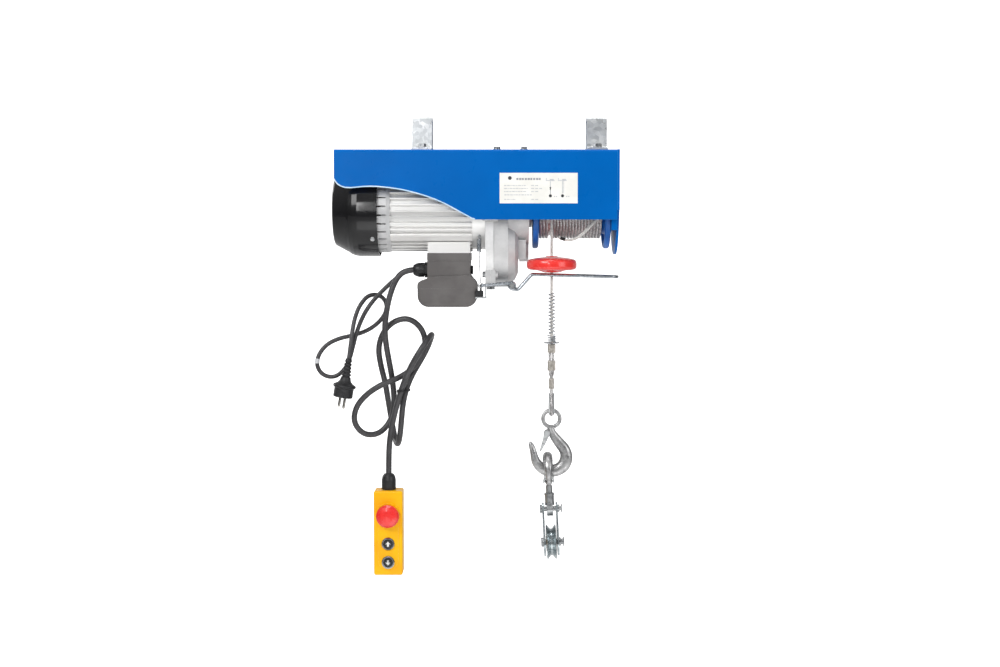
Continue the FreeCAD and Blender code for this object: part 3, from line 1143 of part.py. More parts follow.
def latch_block():
    """Same form, smaller, in the YZ plane."""
    half, t = 7.6, 1.2
    v = Vector(0, EY2 - BLY, EZ2 - BLZ)
    L = v.Length
    solids = [Part.makeCylinder(1.6, 2 * half + 2.0, Vector(-half - 1.0, 0, 0), Vector(1, 0, 0)),
              Part.makeCylinder(2.8, 1.3, Vector(-half - 2.3, 0, 0), Vector(1, 0, 0)),
              Part.makeCylinder(2.8, 1.3, Vector(half + 1.0, 0, 0), Vector(1, 0, 0))]
    for s in (-1, 1):
        x0 = half if s > 0 else -half - t
        ear = Part.makeCylinder(3.6, t, Vector(x0, 0, 0), Vector(1, 0, 0))
        pl = Part.Face(Part.makePolygon([Vector(x0, 0, 3.4), Vector(x0, 10, 2.6), Vector(x0, L, 0.6), Vector(x0, L, -0.6), Vector(x0, 8.0, -2.0), Vector(x0, 0, -3.4), Vector(x0, 0, 3.4)])).extrude(Vector(t, 0, 0))
        solids += [ear, pl]
    solids.append(Part.makeBox(2 * half + 2 * t, L - 10.4, t, Vector(-half - t, 10.4, -0.6)))
    s = solids[0].multiFuse(solids[1:])
    a = math.degrees(math.atan2(v.z, v.y))
    return s, a


lb, la = latch_block()
node("block_latch", tilted(raw(lb, Placement(Vector(BX, BLY, BLZ), Rotation(Vector(1, 0, 0), la)))))

# swivel: collar, housing round the hook's head, eye for the cross bolt
yoke = Part.makeCylinder(5.6, 13.0, Vector(BX, RY, -640.2), Vector(0, 0, 1))
yoke = yoke.fuse(Part.makeCylinder(8.6, 3.3, Vector(BX, RY, -643.6), Vector(0, 0, 1)))
house = Part.makeCylinder(8.0, 17.4, Vector(BX, RY, -660.9), Vector(0, 0, 1))
tab = Part.makeBox(10.0, 20.0, 11.0, Vector(BX - 5.0, RY - 10.0, -667.4))
eye_b = Part.makeCylinder(12.5, 10.0, Vector(BX - 5.0, RY, n(d.bolt_z)), Vector(1, 0, 0))
swv = yoke.multiFuse([house, tab, eye_b])
swv = swv.cut(Part.makeCylinder(4.06, 50.0, Vector(BX, RY, -650.0), Vector(0, 0, 1)))
swv = swv.cut(Part.makeCylinder(5.6, 5.6, Vector(BX, RY, -655.0), Vector(0, 0, 1)))
swv = swv.cut(Part.makeCylinder(4.06, 40.0, Vector(BX - 20, RY, n(d.bolt_z)), Vector(1, 0, 0)))
node("swivel_yoke", tilted(raw(swv)))

cheek_x = BX
def cheek(s):
    gap, th_ = n(d.cheek_gap) / 2, n(d.cheek_th)
    x0 = cheek_x + (gap if s > 0 else -gap - th_)
    zt, zs = n(d.bolt_z), n(d.sheave_z)
    a = Part.makeCylinder(11.0, th_, Vector(x0, RY, zt), Vector(1, 0, 0))
    b = Part.makeCylinder(24.0, th_, Vector(x0, RY, zs), Vector(1, 0, 0))
    # tangent flanks between the two rounds
    dz = zt - zs
    al = math.asin((24.0 - 11.0) / dz)
    ca, sa = math.cos(al), math.sin(al)
    pts = [Vector(x0, RY - 11.0 * ca, zt + 11.0 * sa), Vector(x0, RY + 11.0 * ca, zt + 11.0 * sa), Vector(x0, RY + 24.0 * ca, zs + 24.0 * sa), Vector(x0, RY - 24.0 * ca, zs + 24.0 * sa)]
    c = Part.Face(Part.makePolygon(pts + [pts[0]])).extrude(Vector(th_, 0, 0))
    s_ = a.multiFuse([b, c])
    s_ = s_.cut(Part.makeCylinder(4.05, 20, Vector(x0 - 8, RY, zt), Vector(1, 0, 0)))
    s_ = s_.cut(Part.makeCylinder(5.05, 20, Vector(x0 - 8, RY, zs), Vector(1, 0, 0)))
    return s_


node("block_cheeks", tilted(group(raw(cheek(-1)), raw(cheek(1)))))


def cross_bolt(z, r, L, head, x0):
    s = Part.makeCylinder(r, L, Vector(x0, RY, z), Vector(1, 0, 0))
    hd = Part.makeCylinder(head, 4.0, Vector(x0 - 4.0, RY, z), Vector(1, 0, 0))
    nut = Part.makeCylinder(head - 0.5, 3.0, Vector(x0 + 26.9, RY, z), Vector(1, 0, 0)).cut(Part.makeCylinder(r - 0.01, 40, Vector(x0, RY, z), Vector(1, 0, 0)))
    pin_ = Part.makeCylinder(0.9, 2 * r + 7, Vector(x0 + L - 1.4, RY, z - r - 3.5), Vector(0, 0, 1))
    return s.multiFuse([hd, nut, pin_])


cb = cross_bolt(n(d.bolt_z), 4.0, 35.0, 7.0, cheek_x - n(d.cheek_gap) / 2 - n(d.cheek_th) - 0.3)
ab = cross_bolt(n(d.sheave_z), 5.0, 36.0, 8.0, cheek_x - n(d.cheek_gap) / 2 - n(d.cheek_th) - 0.3)
node("block_bolts", tilted(group(raw(cb), raw(ab))))
sw_ = d.sheave_w
shv = rev([(5.08, 0), (11.0, 0), (11.0, 2.4), (d.sheave_r - 3.6, 2.4), (d.sheave_r - 2.0, 0.6), (d.sheave_r, 2.0), (d.groove_r + 1.0, 6.4), (d.groove_r, 7.8), (d.groove_r, sw_ - 7.8), (d.groove_r + 1.0, sw_ - 6.4),
           (d.sheave_r, sw_ - 2.0), (d.sheave_r - 2.0, sw_ - 0.6), (d.sheave_r - 3.6, sw_ - 2.4), (11.0, sw_ - 2.4), (11.0, sw_), (5.08, sw_)], cheek_x - n(sw_) / 2, RY, d.sheave_z, "x")
node("sheave", tilted(shv))

# --------------------------------------------------------------------------
# 10. pendant control
# --------------------------------------------------------------------------
PX, PY = d.pen_x, d.pen_y
half_w = d.pen_w / 2
pf = PY - 21.0                    # front face
split = PY - 1.0
def shell(y0, y1, open_to):
    o = span(PX - half_w, PX + half_w, y0, y1, d.pen_z0, d.pen_z1)
    o = fillet(o, 4.0, lambda c, t, e: abs(t.y) > 0.9)
    front_y = n(y0) if open_to > 0 else n(y1)
    o = fillet(o, 3.2, lambda c, t, e: abs(c.y - front_y) < 0.05)
    t_ = 2.4
    i0 = Q.of(y0) + t_ if open_to > 0 else Q.of(y0) - 1.0
    i1 = Q.of(y1) + 1.0 if open_to > 0 else Q.of(y1) - t_
    i = span(PX - half_w + t_, PX + half_w - t_, i0, i1, d.pen_z0 + t_, d.pen_z1 - t_)
    return o, i


fo, fi = shell(pf, split, 1)
# raised face panel with a half-round lower end
panel = span(PX - 17.5, PX + 17.5, pf - 1.6, pf + 0.5, -757.8, -662.0)
panel_r = cyl(17.5, 2.1, PX, pf - 1.6, -757.8, "y")
collar_e = cyl(21.0, 4.4, PX, pf - 4.4, d.stop_z, "y")
holes_f = [cyl(11.2, 40.0, PX, pf - 10.0, d.stop_z, "y"), cyl(9.2, 40.0, PX, pf - 10, d.up_z, "y"), cyl(9.2, 40.0, PX, pf - 10, d.down_z, "y"),
           cyl(9.55, 12.0, PX, PY, d.pen_z1 - 8.0, "z")]
node("pendant_front", cut(fuse(fo, panel, panel_r, collar_e), fi, *holes_f))
bo, bi = shell(split + 0.05, PY + 21.0, -1)
node("pendant_back", cut(bo, bi, cyl(9.55, 12.0, PX, PY, d.pen_z1 - 8.0, "z")))
pg = fuse(rev([(0, 0), (12.3, 0), (12.3, 16.0), (11.0, 22.0), (8.2, 26.2), (0, 26.2)], PX, PY, d.pen_z1 + 1.3, "z"),
          hexa(22.5, 1.3, PX, PY, d.pen_z1 + 0.02, "z"), cyl(9.5, 8.0, PX, PY, d.pen_z1 + 0.5, "-z"), hexa(22.0, 3.5, PX, PY, d.pen_z1 - 2.45, "-z"))
node("pendant_gland", cut(pg, cyl(5.0, 40.0, PX, PY, d.pen_z1 - 12.0, "z")))
bez = []
for bz in (d.up_z, d.down_z):
    bez.append(rev([(8.3, 0), (9.1, 0), (9.1, 6.0), (11.0, 6.0), (11.0, 8.2), (9.8, 9.4), (8.3, 9.4)], PX, pf + 4.4, bz, "-y"))
node("button_bezels", group(*bez))


es = rev([(0, 0), (6.0, 0), (6.0, 17.0), (10.4, 17.0), (10.4, 22.6), (19.0, 23.2), (20.0, 25.0), (19.6, 28.5), (16.5, 31.8), (10.0, 33.6), (0, 34.2)], PX, PY - 6.5, d.stop_z, "-y")
node("e_stop_button", es)
for nm, bz in (("up_button", d.up_z), ("down_button", d.down_z)):
    node(nm, rev([(0, 0), (5.0, 0), (5.0, 9.0), (7.9, 9.0), (7.9, 17.4), (7.0, 18.2), (0, 18.6)], PX, PY - 8.6, bz, "-y"))

# --------------------------------------------------------------------------
# 11. cables and plug.  Each route's points are the corners of straight runs;
# tangent arcs join them.
# --------------------------------------------------------------------------
PENDANT_ROUTE = [
    (-165.7, -20.0, -256.4), (-179.0, -20.0, -257.8), (-191.6, -20.5, -266.6), (-201.0, -21.5, -284.0), (-207.9, -22.5, -306.0),
    (-212.9, -23.3, -331.0), (-215.7, -22.6, -359.0), (-213.4, -18.8, -387.0), (-208.8, -13.5, -415.0), (-204.2, -9.0, -443.0),
    (-201.2, -5.0, -471.0), (-201.0, -1.0, -498.5), (-209.3, -1.0, -524.5), (-228.5, -6.0, -544.0), (-254.2, -13.0, -543.5),
    (-271.0, -17.5, -521.5), (-266.6, -21.5, -493.8), (-246.2, -25.5, -470.2), (-219.6, -30.0, -453.4), (-193.0, -23.5, -444.2),
    (-170.6, -16.5, -430.4), (-153.4, -10.5, -409.7), (-144.6, -8.0, -383.5), (-152.3, -8.0, -356.8), (-175.0, -7.0, -339.5),
    (-202.3, -4.0, -345.9), (-221.9, 0.0, -367.3), (-229.3, 4.0, -394.9), (-224.9, 10.0, -425.5), (-217.9, 18.0, -455.6),
    (-214.3, 28.5, -485.0), (-210.6, 38.5, -513.5), (-206.4, 44.5, -541.0), (-200.5, 27.0, -562.0), (-194.6, 1.0, -562.5),
    (-190.0, -16.6, -544.0), (-187.4, -18.0, -516.5), (-184.8, -18.8, -488.5), (-178.6, -17.6, -461.5), (-168.0, -8.0, -436.5),
    (-154.6, 10.0, -414.5), (-142.8, 20.5, -392.0), (-135.5, 8.0, -372.2), (-134.5, -17.0, -367.6), (-139.6, -40.5, -374.0),
    (-150.8, -52.5, -391.0), (-163.8, -50.5, -412.0), (-174.6, -41.5, -433.0), (-183.8, -32.5, -455.0), (-191.4, -27.5, -478.5),
    (-198.2, -25.2, -502.5), (-203.9, -24.0, -527.0), (-207.8, -22.8, -552.0), (-209.5, -21.4, -578.5), (-209.7, -20.0, -610.5)]
MAINS_ROUTE = [
    (-165.7, 18.0, -256.4), (-180.0, 17.6, -259.4), (-194.0, 14.6, -268.4), (-208.8, 10.8, -281.2), (-226.2, 8.4, -297.9),
    (-243.6, 8.0, -317.4), (-257.6, 8.2, -341.0), (-267.6, 10.0, -367.0), (-274.2, 13.6, -392.0), (-280.2, 16.0, -414.0),
    (-290.0, 17.2, -433.0), (-306.2, 17.6, -446.0), (-326.6, 17.6, -443.2), (-338.8, 18.2, -427.0), (-336.2, 20.4, -406.6),
    (-321.8, 24.2, -388.2), (-300.0, 27.4, -377.6), (-275.4, 29.4, -372.8), (-250.4, 29.6, -364.6), (-229.2, 28.2, -349.8),
    (-215.6, 26.2, -330.0), (-216.2, 24.2, -311.8), (-229.0, 22.4, -300.2), (-246.6, 20.6, -301.2), (-258.8, 17.0, -314.0),
    (-267.4, 11.4, -331.4), (-272.8, 4.4, -354.0), (-275.6, -2.0, -380.0), (-279.3, -6.0, -411.1)]
CORDS = {}
for nm, route, dia in (("pendant_cable", PENDANT_ROUTE, d.pend_cable_d), ("mains_lead", MAINS_ROUTE, d.mains_d)):
    body_, length_, radii_ = tube(route, n(dia) / 2)
    CORDS[nm] = (length_, radii_, body_.Volume, n(dia))
    node(nm, raw(body_))

# plug: ribbed strain relief, neck, flange, round body, two pins
PLUG_TOP = Vector(-279.3, -6.0, -411.1)
plug_rot = Rotation(Vector(0, 0, 1), Vector(-0.165, 0.0, -0.9863)).multiply(Rotation(Vector(0, 0, 1), 59.0))
ribs = [(0, 0), (5.4, 0)]
for k in range(5):
    z_ = 3.0 + 6.0 * k
    r_ = 6.2 + 0.45 * k
    ribs += [(r_, z_), (r_, z_ + 3.2), (r_ - 1.3, z_ + 3.8), (r_ - 1.3, z_ + 5.6)]
ribs += [(8.6, 33.6), (9.6, 38.0), (13.0, 43.5), (19.85, 46.8), (19.85, 50.2), (17.0, 51.4), (17.0, 67.4), (16.0, 68.5), (0, 68.5)]
plug_body = rev(ribs, 0, 0, 0, "z")
plug_body.Placement = Placement(PLUG_TOP, plug_rot)
plug_parts = [plug_body]
for s_ in (-1, 1):
    pin_ = rev([(0, 0), (2.4, 0), (2.4, 17.6), (1.2, 19.0), (0, 19.0)], 0, 0, 0, "z")
    pin_.Placement = Placement(PLUG_TOP, plug_rot).multiply(Placement(Vector(s_ * 9.5, 0, 68.52), Rotation()))
    plug_parts.append(pin_)
node("mains_plug", group(*plug_parts))

# --------------------------------------------------------------------------
# check every object, then write one file per piece
# --------------------------------------------------------------------------
doc.recompute()
bad = []
for o in doc.Objects:
    if "Invalid" in o.State or "Error" in o.State:
        bad.append((o.Name, o.Label, o.State))
if bad:
    raise RuntimeError("failed objects: %s" % bad[:8])
assert len(NODES) <= 60, len(NODES)
total = FreeCAD.BoundBox()
for name in NODES:
    shp = NODES[name].Shape
    if shp.isNull() or not shp.isValid() or not shp.Solids:
        raise RuntimeError("bad shape: " + name)
    for sol in shp.Solids:
        if sol.Volume <= 0:
            raise RuntimeError("inside-out solid: " + name)
    total.add(shp.BoundBox)
for name in NODES:
    NODES[name].Shape.exportStep("parts/%s.step" % name)
print("pieces", len(NODES), "solids", sum(len(NODES[k].Shape.Solids) for k in NODES))
print("box", [round(v, 1) for v in (total.XMin, total.YMin, total.ZMin, total.XMax, total.YMax, total.ZMax)])
for name, (length_, radii_, vol, dia) in CORDS.items():
    print(name, "length", round(length_, 1), "volume ratio", round(vol / (math.pi * dia * dia / 4 * length_), 4))
    print("  radii", sorted(set(r[1] for r in radii_))[:8])
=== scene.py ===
"""Looks of the electric wire rope hoist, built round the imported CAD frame."""
import bpy
import bmesh
import json
import math
import numpy as np
from mathutils import Vector, Matrix, Quaternion


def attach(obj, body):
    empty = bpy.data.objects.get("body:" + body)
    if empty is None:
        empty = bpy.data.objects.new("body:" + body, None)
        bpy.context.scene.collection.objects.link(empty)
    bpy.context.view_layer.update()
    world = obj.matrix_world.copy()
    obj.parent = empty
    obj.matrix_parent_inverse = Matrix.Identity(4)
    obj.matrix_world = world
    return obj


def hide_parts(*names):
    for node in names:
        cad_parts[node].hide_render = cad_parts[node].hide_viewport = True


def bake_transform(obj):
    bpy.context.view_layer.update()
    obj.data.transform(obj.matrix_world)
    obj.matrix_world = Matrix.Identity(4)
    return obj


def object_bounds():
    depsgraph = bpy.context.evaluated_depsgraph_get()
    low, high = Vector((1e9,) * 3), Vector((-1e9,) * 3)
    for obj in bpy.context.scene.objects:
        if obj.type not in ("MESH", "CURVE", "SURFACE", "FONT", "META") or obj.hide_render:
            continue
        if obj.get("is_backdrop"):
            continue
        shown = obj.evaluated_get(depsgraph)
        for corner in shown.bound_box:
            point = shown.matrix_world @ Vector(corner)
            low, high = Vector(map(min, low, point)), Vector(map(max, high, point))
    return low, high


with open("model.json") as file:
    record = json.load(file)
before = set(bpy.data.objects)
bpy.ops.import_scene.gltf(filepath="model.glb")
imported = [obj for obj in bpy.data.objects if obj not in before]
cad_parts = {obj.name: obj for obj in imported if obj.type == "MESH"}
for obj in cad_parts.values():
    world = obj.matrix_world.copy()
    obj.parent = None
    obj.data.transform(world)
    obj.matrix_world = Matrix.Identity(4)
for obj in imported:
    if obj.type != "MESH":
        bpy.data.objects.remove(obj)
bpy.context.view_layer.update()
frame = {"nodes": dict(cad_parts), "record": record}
MM = 0.001
nodes = frame["nodes"]


# ---------------------------------------------------------------------------
# materials: every one has its own procedural colour, roughness and relief
# ---------------------------------------------------------------------------
class Mat(object):
    def __init__(self, name):
        self.m = bpy.data.materials.new(name)
        self.m.use_nodes = True
        self.nt = self.m.node_tree
        self.b = [n for n in self.nt.nodes if n.type == "BSDF_PRINCIPLED"][0]
        self.tc = self.nt.nodes.new("ShaderNodeTexCoord")

    def add(self, kind, **props):
        n = self.nt.nodes.new(kind)
        for k, v in props.items():
            setattr(n, k, v)
        return n

    def link(self, a, b):
        self.nt.links.new(a, b)

    def coords(self, stretch=(1, 1, 1), rot=(0, 0, 0)):
        mp = self.add("ShaderNodeMapping")
        mp.inputs["Scale"].default_value = stretch
        mp.inputs["Rotation"].default_value = rot
        self.link(self.tc.outputs["Object"], mp.inputs["Vector"])
        return mp.outputs["Vector"]

    def noise(self, scale, detail=3.0, rough=0.55, stretch=(1, 1, 1), rot=(0, 0, 0), distortion=0.0):
        n = self.add("ShaderNodeTexNoise")
        n.inputs["Scale"].default_value = scale
        n.inputs["Detail"].default_value = detail
        n.inputs["Roughness"].default_value = rough
        n.inputs["Distortion"].default_value = distortion
        self.link(self.coords(stretch, rot), n.inputs["Vector"])
        return n.outputs["Fac"]

    def voronoi(self, scale, feature="F1", out="Color", stretch=(1, 1, 1), rand=1.0):
        n = self.add("ShaderNodeTexVoronoi", feature=feature)
        n.inputs["Scale"].default_value = scale
        n.inputs["Randomness"].default_value = rand
        self.link(self.coords(stretch), n.inputs["Vector"])
        return n.outputs[out]

    def wave(self, scale, direction="X", distortion=0.0, bands="BANDS"):
        n = self.add("ShaderNodeTexWave", wave_type=bands)
        n.bands_direction = direction
        n.inputs["Scale"].default_value = scale
        n.inputs["Distortion"].default_value = distortion
        self.link(self.coords(), n.inputs["Vector"])
        return n.outputs["Fac"]

    def to_range(self, fac, lo, hi, f0=0.3, f1=0.7, smooth=False):
        n = self.add("ShaderNodeMapRange")
        n.interpolation_type = "SMOOTHSTEP" if smooth else "LINEAR"
        n.inputs["From Min"].default_value = f0
        n.inputs["From Max"].default_value = f1
        n.inputs["To Min"].default_value = lo
        n.inputs["To Max"].default_value = hi
        self.link(fac, n.inputs["Value"])
        return n.outputs["Result"]

    def mix(self, fac, a, b):
        """Colour a where fac is 0, b where it is 1. a and b: colours or sockets."""
        n = self.add("ShaderNodeMix", data_type="RGBA")
        self.link(fac, n.inputs[0])
        for slot, v in ((6, a), (7, b)):
            if isinstance(v, (tuple, list)):
                n.inputs[slot].default_value = (v[0], v[1], v[2], 1.0)
            else:
                self.link(v, n.inputs[slot])
        return n.outputs[2]

    def bump(self, pairs):
        """pairs: (height socket, strength, distance in metres)"""
        last = None
        for h, strength, dist in pairs:
            n = self.add("ShaderNodeBump")
            n.inputs["Strength"].default_value = strength
            n.inputs["Distance"].default_value = dist
            self.link(h, n.inputs["Height"])
            if last is not None:
                self.link(last, n.inputs["Normal"])
            last = n.outputs["Normal"]
        self.link(last, self.b.inputs["Normal"])

    def color(self, sock):
        self.link(sock, self.b.inputs["Base Color"])

    def rough(self, sock):
        self.link(sock, self.b.inputs["Roughness"])

    def set(self, **kw):
        for k, v in kw.items():
            key = k.replace("_", " ")
            self.b.inputs[key].default_value = v
        return self

    def up(self, lo=0.2, hi=0.8, axis="Z", sign=1):
        """0..1 by how far the surface faces along an axis of the object."""
        sep = self.add("ShaderNodeSeparateXYZ")
        self.link(self.tc.outputs["Normal"], sep.inputs[0])
        return self.to_range(sep.outputs[axis], 0.0, 1.0, lo * sign, hi * sign)

    def edge(self, radius=0.0008, lo=0.02, hi=0.25):
        """Near 1 on sharp edges, from the bevelled normal."""
        bev = self.add("ShaderNodeBevel", samples=4)
        bev.inputs["Radius"].default_value = radius
        geo = self.add("ShaderNodeNewGeometry")
        dot = self.add("ShaderNodeVectorMath", operation="DOT_PRODUCT")
        self.link(bev.outputs["Normal"], dot.inputs[0])
        self.link(geo.outputs["Normal"], dot.inputs[1])
        return self.to_range(dot.outputs["Value"], 1.0, 0.0, 1 - hi, 1 - lo)


def lin(h):
    """sRGB hex to linear."""
    out = []
    for k in (0, 2, 4):
        c = int(h[k:k + 2], 16) / 255.0
        out.append(c / 12.92 if c <= 0.04045 else ((c + 0.055) / 1.055) ** 2.4)
    return tuple(out)


MATS = {}


def plain(name, c1, c2, rough=(0.35, 0.5), metal=0.0, blotch=25.0, grain=(1500.0, 0.15, 0.0001), coat=0.0, coat_rough=0.08,
          stretch=(1, 1, 1), spec=0.5, wear_and_highlight=None, extra=None):
    """Two-tone surface with fine relief. wear: (colour, radius) mixed onto sharp edges in patches, partly rubbed wear
    and partly a painted highlight where edges catch the light.
    """
    m = Mat(name)
    col = m.mix(m.to_range(m.noise(blotch, 4.0, 0.6, stretch), 0, 1, 0.35, 0.65, True), c1, c2)
    # partly rubbed wear, partly a painted highlight: the edge mask times patchy noise lightens the edges
    if wear_and_highlight is not None:
        w = m.edge(wear_and_highlight[1])
        patch = m.to_range(m.noise(220.0, 5.0, 0.65), 0, 1, 0.42, 0.6)
        mul = m.add("ShaderNodeMath", operation="MULTIPLY")
        m.link(w, mul.inputs[0])
        m.link(patch, mul.inputs[1])
        col = m.mix(mul.outputs[0], col, wear_and_highlight[0])
    m.color(col)
    m.rough(m.to_range(m.noise(blotch * 3.1, 5.0, 0.6, stretch), rough[0], rough[1]))
    m.bump([(m.noise(grain[0], 3.0, 0.6, stretch), grain[1], grain[2])])
    m.set(Metallic=metal, Coat_Weight=coat, Coat_Roughness=coat_rough, Specular_IOR_Level=spec)
    if extra:
        extra(m)
    MATS[name] = m.m
    return m


# frame: gloss powder coat with a faint orange peel; sharp edges mixed towards a lighter blue as a painted highlight
m = Mat("blue_paint")
base = m.mix(m.to_range(m.noise(9.0, 3.0), 0, 1, 0.3, 0.7, True), lin("0063B6"), lin("005EAE"))
edge = m.edge(0.0011)
base = m.mix(m.to_range(edge, 0.0, 0.55, 0, 1), base, lin("4A93DB"))
m.color(base)
m.rough(m.to_range(m.noise(60.0, 4.0), 0.26, 0.36))
m.bump([(m.noise(45.0, 1.0, 0.4), 0.04, 0.0004), (m.noise(2600.0, 1.0), 0.02, 0.00006)])
m.set(Metallic=0.0, Coat_Weight=0.0, Coat_Roughness=0.25, Specular_IOR_Level=0.06)
MATS["blue_paint"] = m.m

m = Mat("drum_paint")
base = m.mix(m.to_range(m.noise(30.0, 4.0), 0, 1, 0.35, 0.65, True), lin("0B63BC"), lin("0A55A2"))
# painted highlight: sharp edges mixed towards pale blue
base = m.mix(m.to_range(m.edge(0.0014), 0, 0.35, 0, 1), base, lin("8FC0EC"))
m.color(base)
m.rough(m.to_range(m.noise(80.0, 4.0), 0.3, 0.45))
m.bump([(m.noise(700.0, 3.0), 0.12, 0.0003)])
m.set(Coat_Weight=0.1, Coat_Roughness=0.2, Specular_IOR_Level=0.3)
MATS["drum_paint"] = m.m

# painted light: a lighter copy of the wire rope's colours for the fall and the loose end, the same rope as the windings
plain("rope_bright", lin("C9C6C1"), lin("EFEDE9"), (0.25, 0.4), 0.35, 500.0, (2400.0, 0.3, 0.0002))

# bright zinc with spangle
m = Mat("zinc_plate")
cell = m.voronoi(150.0)
sep = m.add("ShaderNodeSeparateColor")
m.link(cell, sep.inputs[0])
fine = m.noise(900.0, 4.0, 0.6)
col = m.mix(m.to_range(sep.outputs[0], 0, 1, 0.1, 0.9), lin("C6C9CA"), lin("E6E8E8"))
col = m.mix(m.to_range(m.noise(35.0, 4.0), 0, 0.55, 0.35, 0.7, True), col, lin("ABAFB1"))
m.color(col)
m.rough(m.to_range(sep.outputs[1], 0.26, 0.44, 0, 1))
m.bump([(fine, 0.12, 0.00012), (sep.outputs[2], 0.10, 0.0002)])
m.set(Metallic=0.55)
MATS["zinc_plate"] = m.m

plain("bolt_steel", lin("8D9092"), lin("B9BBBC"), (0.25, 0.42), 0.95, 90.0, (1600.0, 0.2, 0.0001), wear_and_highlight=(lin("E2E2E0"), 0.0006))
plain("sheave_steel", lin("98A1A4"), lin("BCC4C6"), (0.2, 0.32), 0.9, 80.0, (1400.0, 0.14, 0.0001))
plain("machined_steel", lin("A9ABAD"), lin("C9CACB"), (0.18, 0.3), 1.0, 60.0, (1400.0, 0.12, 0.00008), stretch=(0.15, 1, 1))
plain("dark_steel", lin("2C2D2F"), lin("3B3B3D"), (0.45, 0.6), 0.8, 80.0)
plain("copper_wire", lin("8C4A25"), lin("6F3518"), (0.3, 0.5), 0.6, 300.0, (2500.0, 0.5, 0.0004), stretch=(1, 0.1, 0.1))

# extruded and cast aluminium
plain("motor_aluminium", lin("ECEBE9"), lin("DBDBDA"), (0.3, 0.44), 0.5, 14.0, (900.0, 0.16, 0.00015), stretch=(0.06, 1, 1), wear_and_highlight=(lin("F0F0F0"), 0.0006))
m = Mat("cast_aluminium")
col = m.mix(m.to_range(m.noise(26.0, 5.0, 0.6), 0, 1, 0.35, 0.65, True), lin("D0D0D0"), lin("B9BABB"))
# painted highlight: sharp edges mixed towards near-white
col = m.mix(m.to_range(m.edge(0.0010), 0, 0.75, 0, 1), col, lin("F2F2F2"))
m.color(col)
m.rough(m.to_range(m.noise(120.0, 4.0), 0.38, 0.55))
m.bump([(m.noise(650.0, 4.0, 0.65), 0.35, 0.00035), (m.noise(70.0, 2.0), 0.12, 0.0008)])
m.set(Metallic=0.35)
MATS["cast_aluminium"] = m.m

# motor fan cover: gloss enamel over drawn sheet
m = Mat("black_gloss")
m.color(m.mix(m.to_range(m.noise(12.0, 4.0), 0, 1, 0.3, 0.7, True), lin("101011"), lin("1A1A1C")))
m.rough(m.to_range(m.noise(45.0, 5.0), 0.16, 0.27))
m.bump([(m.noise(300.0, 2.0), 0.08, 0.0004), (m.noise(1800.0, 2.0), 0.04, 0.0001)])
m.set(Coat_Weight=0.35, Coat_Roughness=0.06, Specular_IOR_Level=0.25)
MATS["black_gloss"] = m.m

plain("black_plastic", lin("17181A"), lin("232426"), (0.32, 0.5), 0.0, 60.0, (1300.0, 0.16, 0.00015), spec=0.5, wear_and_highlight=(lin("4A4B4D"), 0.0006))
plain("box_plastic", lin("5B5857"), lin("676463"), (0.42, 0.58), 0.0, 18.0, (1100.0, 0.32, 0.0002), spec=0.42, wear_and_highlight=(lin("83807E"), 0.0008))
plain("capacitor_can", lin("B8BABC"), lin("A6A8AA"), (0.2, 0.3), 1.0, 20.0)
plain("lever_zinc", lin("B0B4B9"), lin("8F959B"), (0.2, 0.34), 0.95, 120.0, (1500.0, 0.16, 0.0001))
plain("red_plastic", lin("F7413A"), lin("F03630"), (0.2, 0.3), 0.0, 22.0, (600.0, 0.03, 0.0002), coat=0.45, coat_rough=0.1, wear_and_highlight=(lin("F2605A"), 0.0009))
plain("ferrule_aluminium", lin("CFCAC2"), lin("AFA9A1"), (0.32, 0.5), 0.9, 160.0, (1200.0, 0.35, 0.0002), wear_and_highlight=(lin("F2EFEA"), 0.0006))
plain("yellow_plastic", lin("FFC200"), lin("FAB300"), (0.3, 0.4), 0.0, 16.0, (900.0, 0.08, 0.0001), coat=0.08, coat_rough=0.2, spec=0.3, wear_and_highlight=(lin("FFE36A"), 0.0010))
plain("bezel_chrome", lin("C4C6C9"), lin("9A9DA1"), (0.08, 0.16), 1.0, 60.0, (900.0, 0.05, 0.0001))
plain("stop_red", lin("F0332F"), lin("E4211F"), (0.22, 0.32), 0.0, 30.0, (700.0, 0.08, 0.0002), coat=0.4, coat_rough=0.12, wear_and_highlight=(lin("FF7A74"), 0.0012))
plain("cable_sheath", lin("343335"), lin("414042"), (0.36, 0.5), 0.0, 45.0, (1000.0, 0.22, 0.0002), spec=0.55)
plain("plug_rubber", lin("1C1C1E"), lin("29292B"), (0.4, 0.55), 0.0, 60.0, (1200.0, 0.25, 0.0002), wear_and_highlight=(lin("525255"), 0.0007))
plain("pin_nickel", lin("C9C6BF"), lin("A9A69F"), (0.15, 0.28), 1.0, 90.0)
plain("label_white", lin("F4F3EE"), lin("ECEBE5"), (0.3, 0.42), 0.0, 40.0, (1600.0, 0.05, 0.0001))
plain("label_ink", lin("2B2D31"), lin("3A3C40"), (0.4, 0.55), 0.0, 300.0)
plain("label_grey", lin("9B9DA3"), lin("84868D"), (0.4, 0.55), 0.0, 300.0)
plain("band_grey", lin("D4D5D8"), lin("C3C5C8"), (0.35, 0.5), 0.0, 120.0)
plain("print_pale", lin("C9CBCE"), lin("B9BBBF"), (0.4, 0.55), 0.0, 300.0)
# near-white blue for the painted highlight strip on the frame's lower edge
plain("blue_edge", lin("DDEEFB"), lin("BBDDF6"), (0.3, 0.42), 0.0, 40.0, (900.0, 0.08, 0.0001), coat=0.2)
plain("arrow_white", lin("E9E9E6"), lin("DCDCD8"), (0.35, 0.5), 0.0, 80.0)
plain("tie_black", lin("141416"), lin("202023"), (0.3, 0.42), 0.0, 80.0)

plain("cast_bright", lin("EDEDEC"), lin("DFDFDF"), (0.36, 0.5), 0.25, 40.0, (700.0, 0.2, 0.0002))

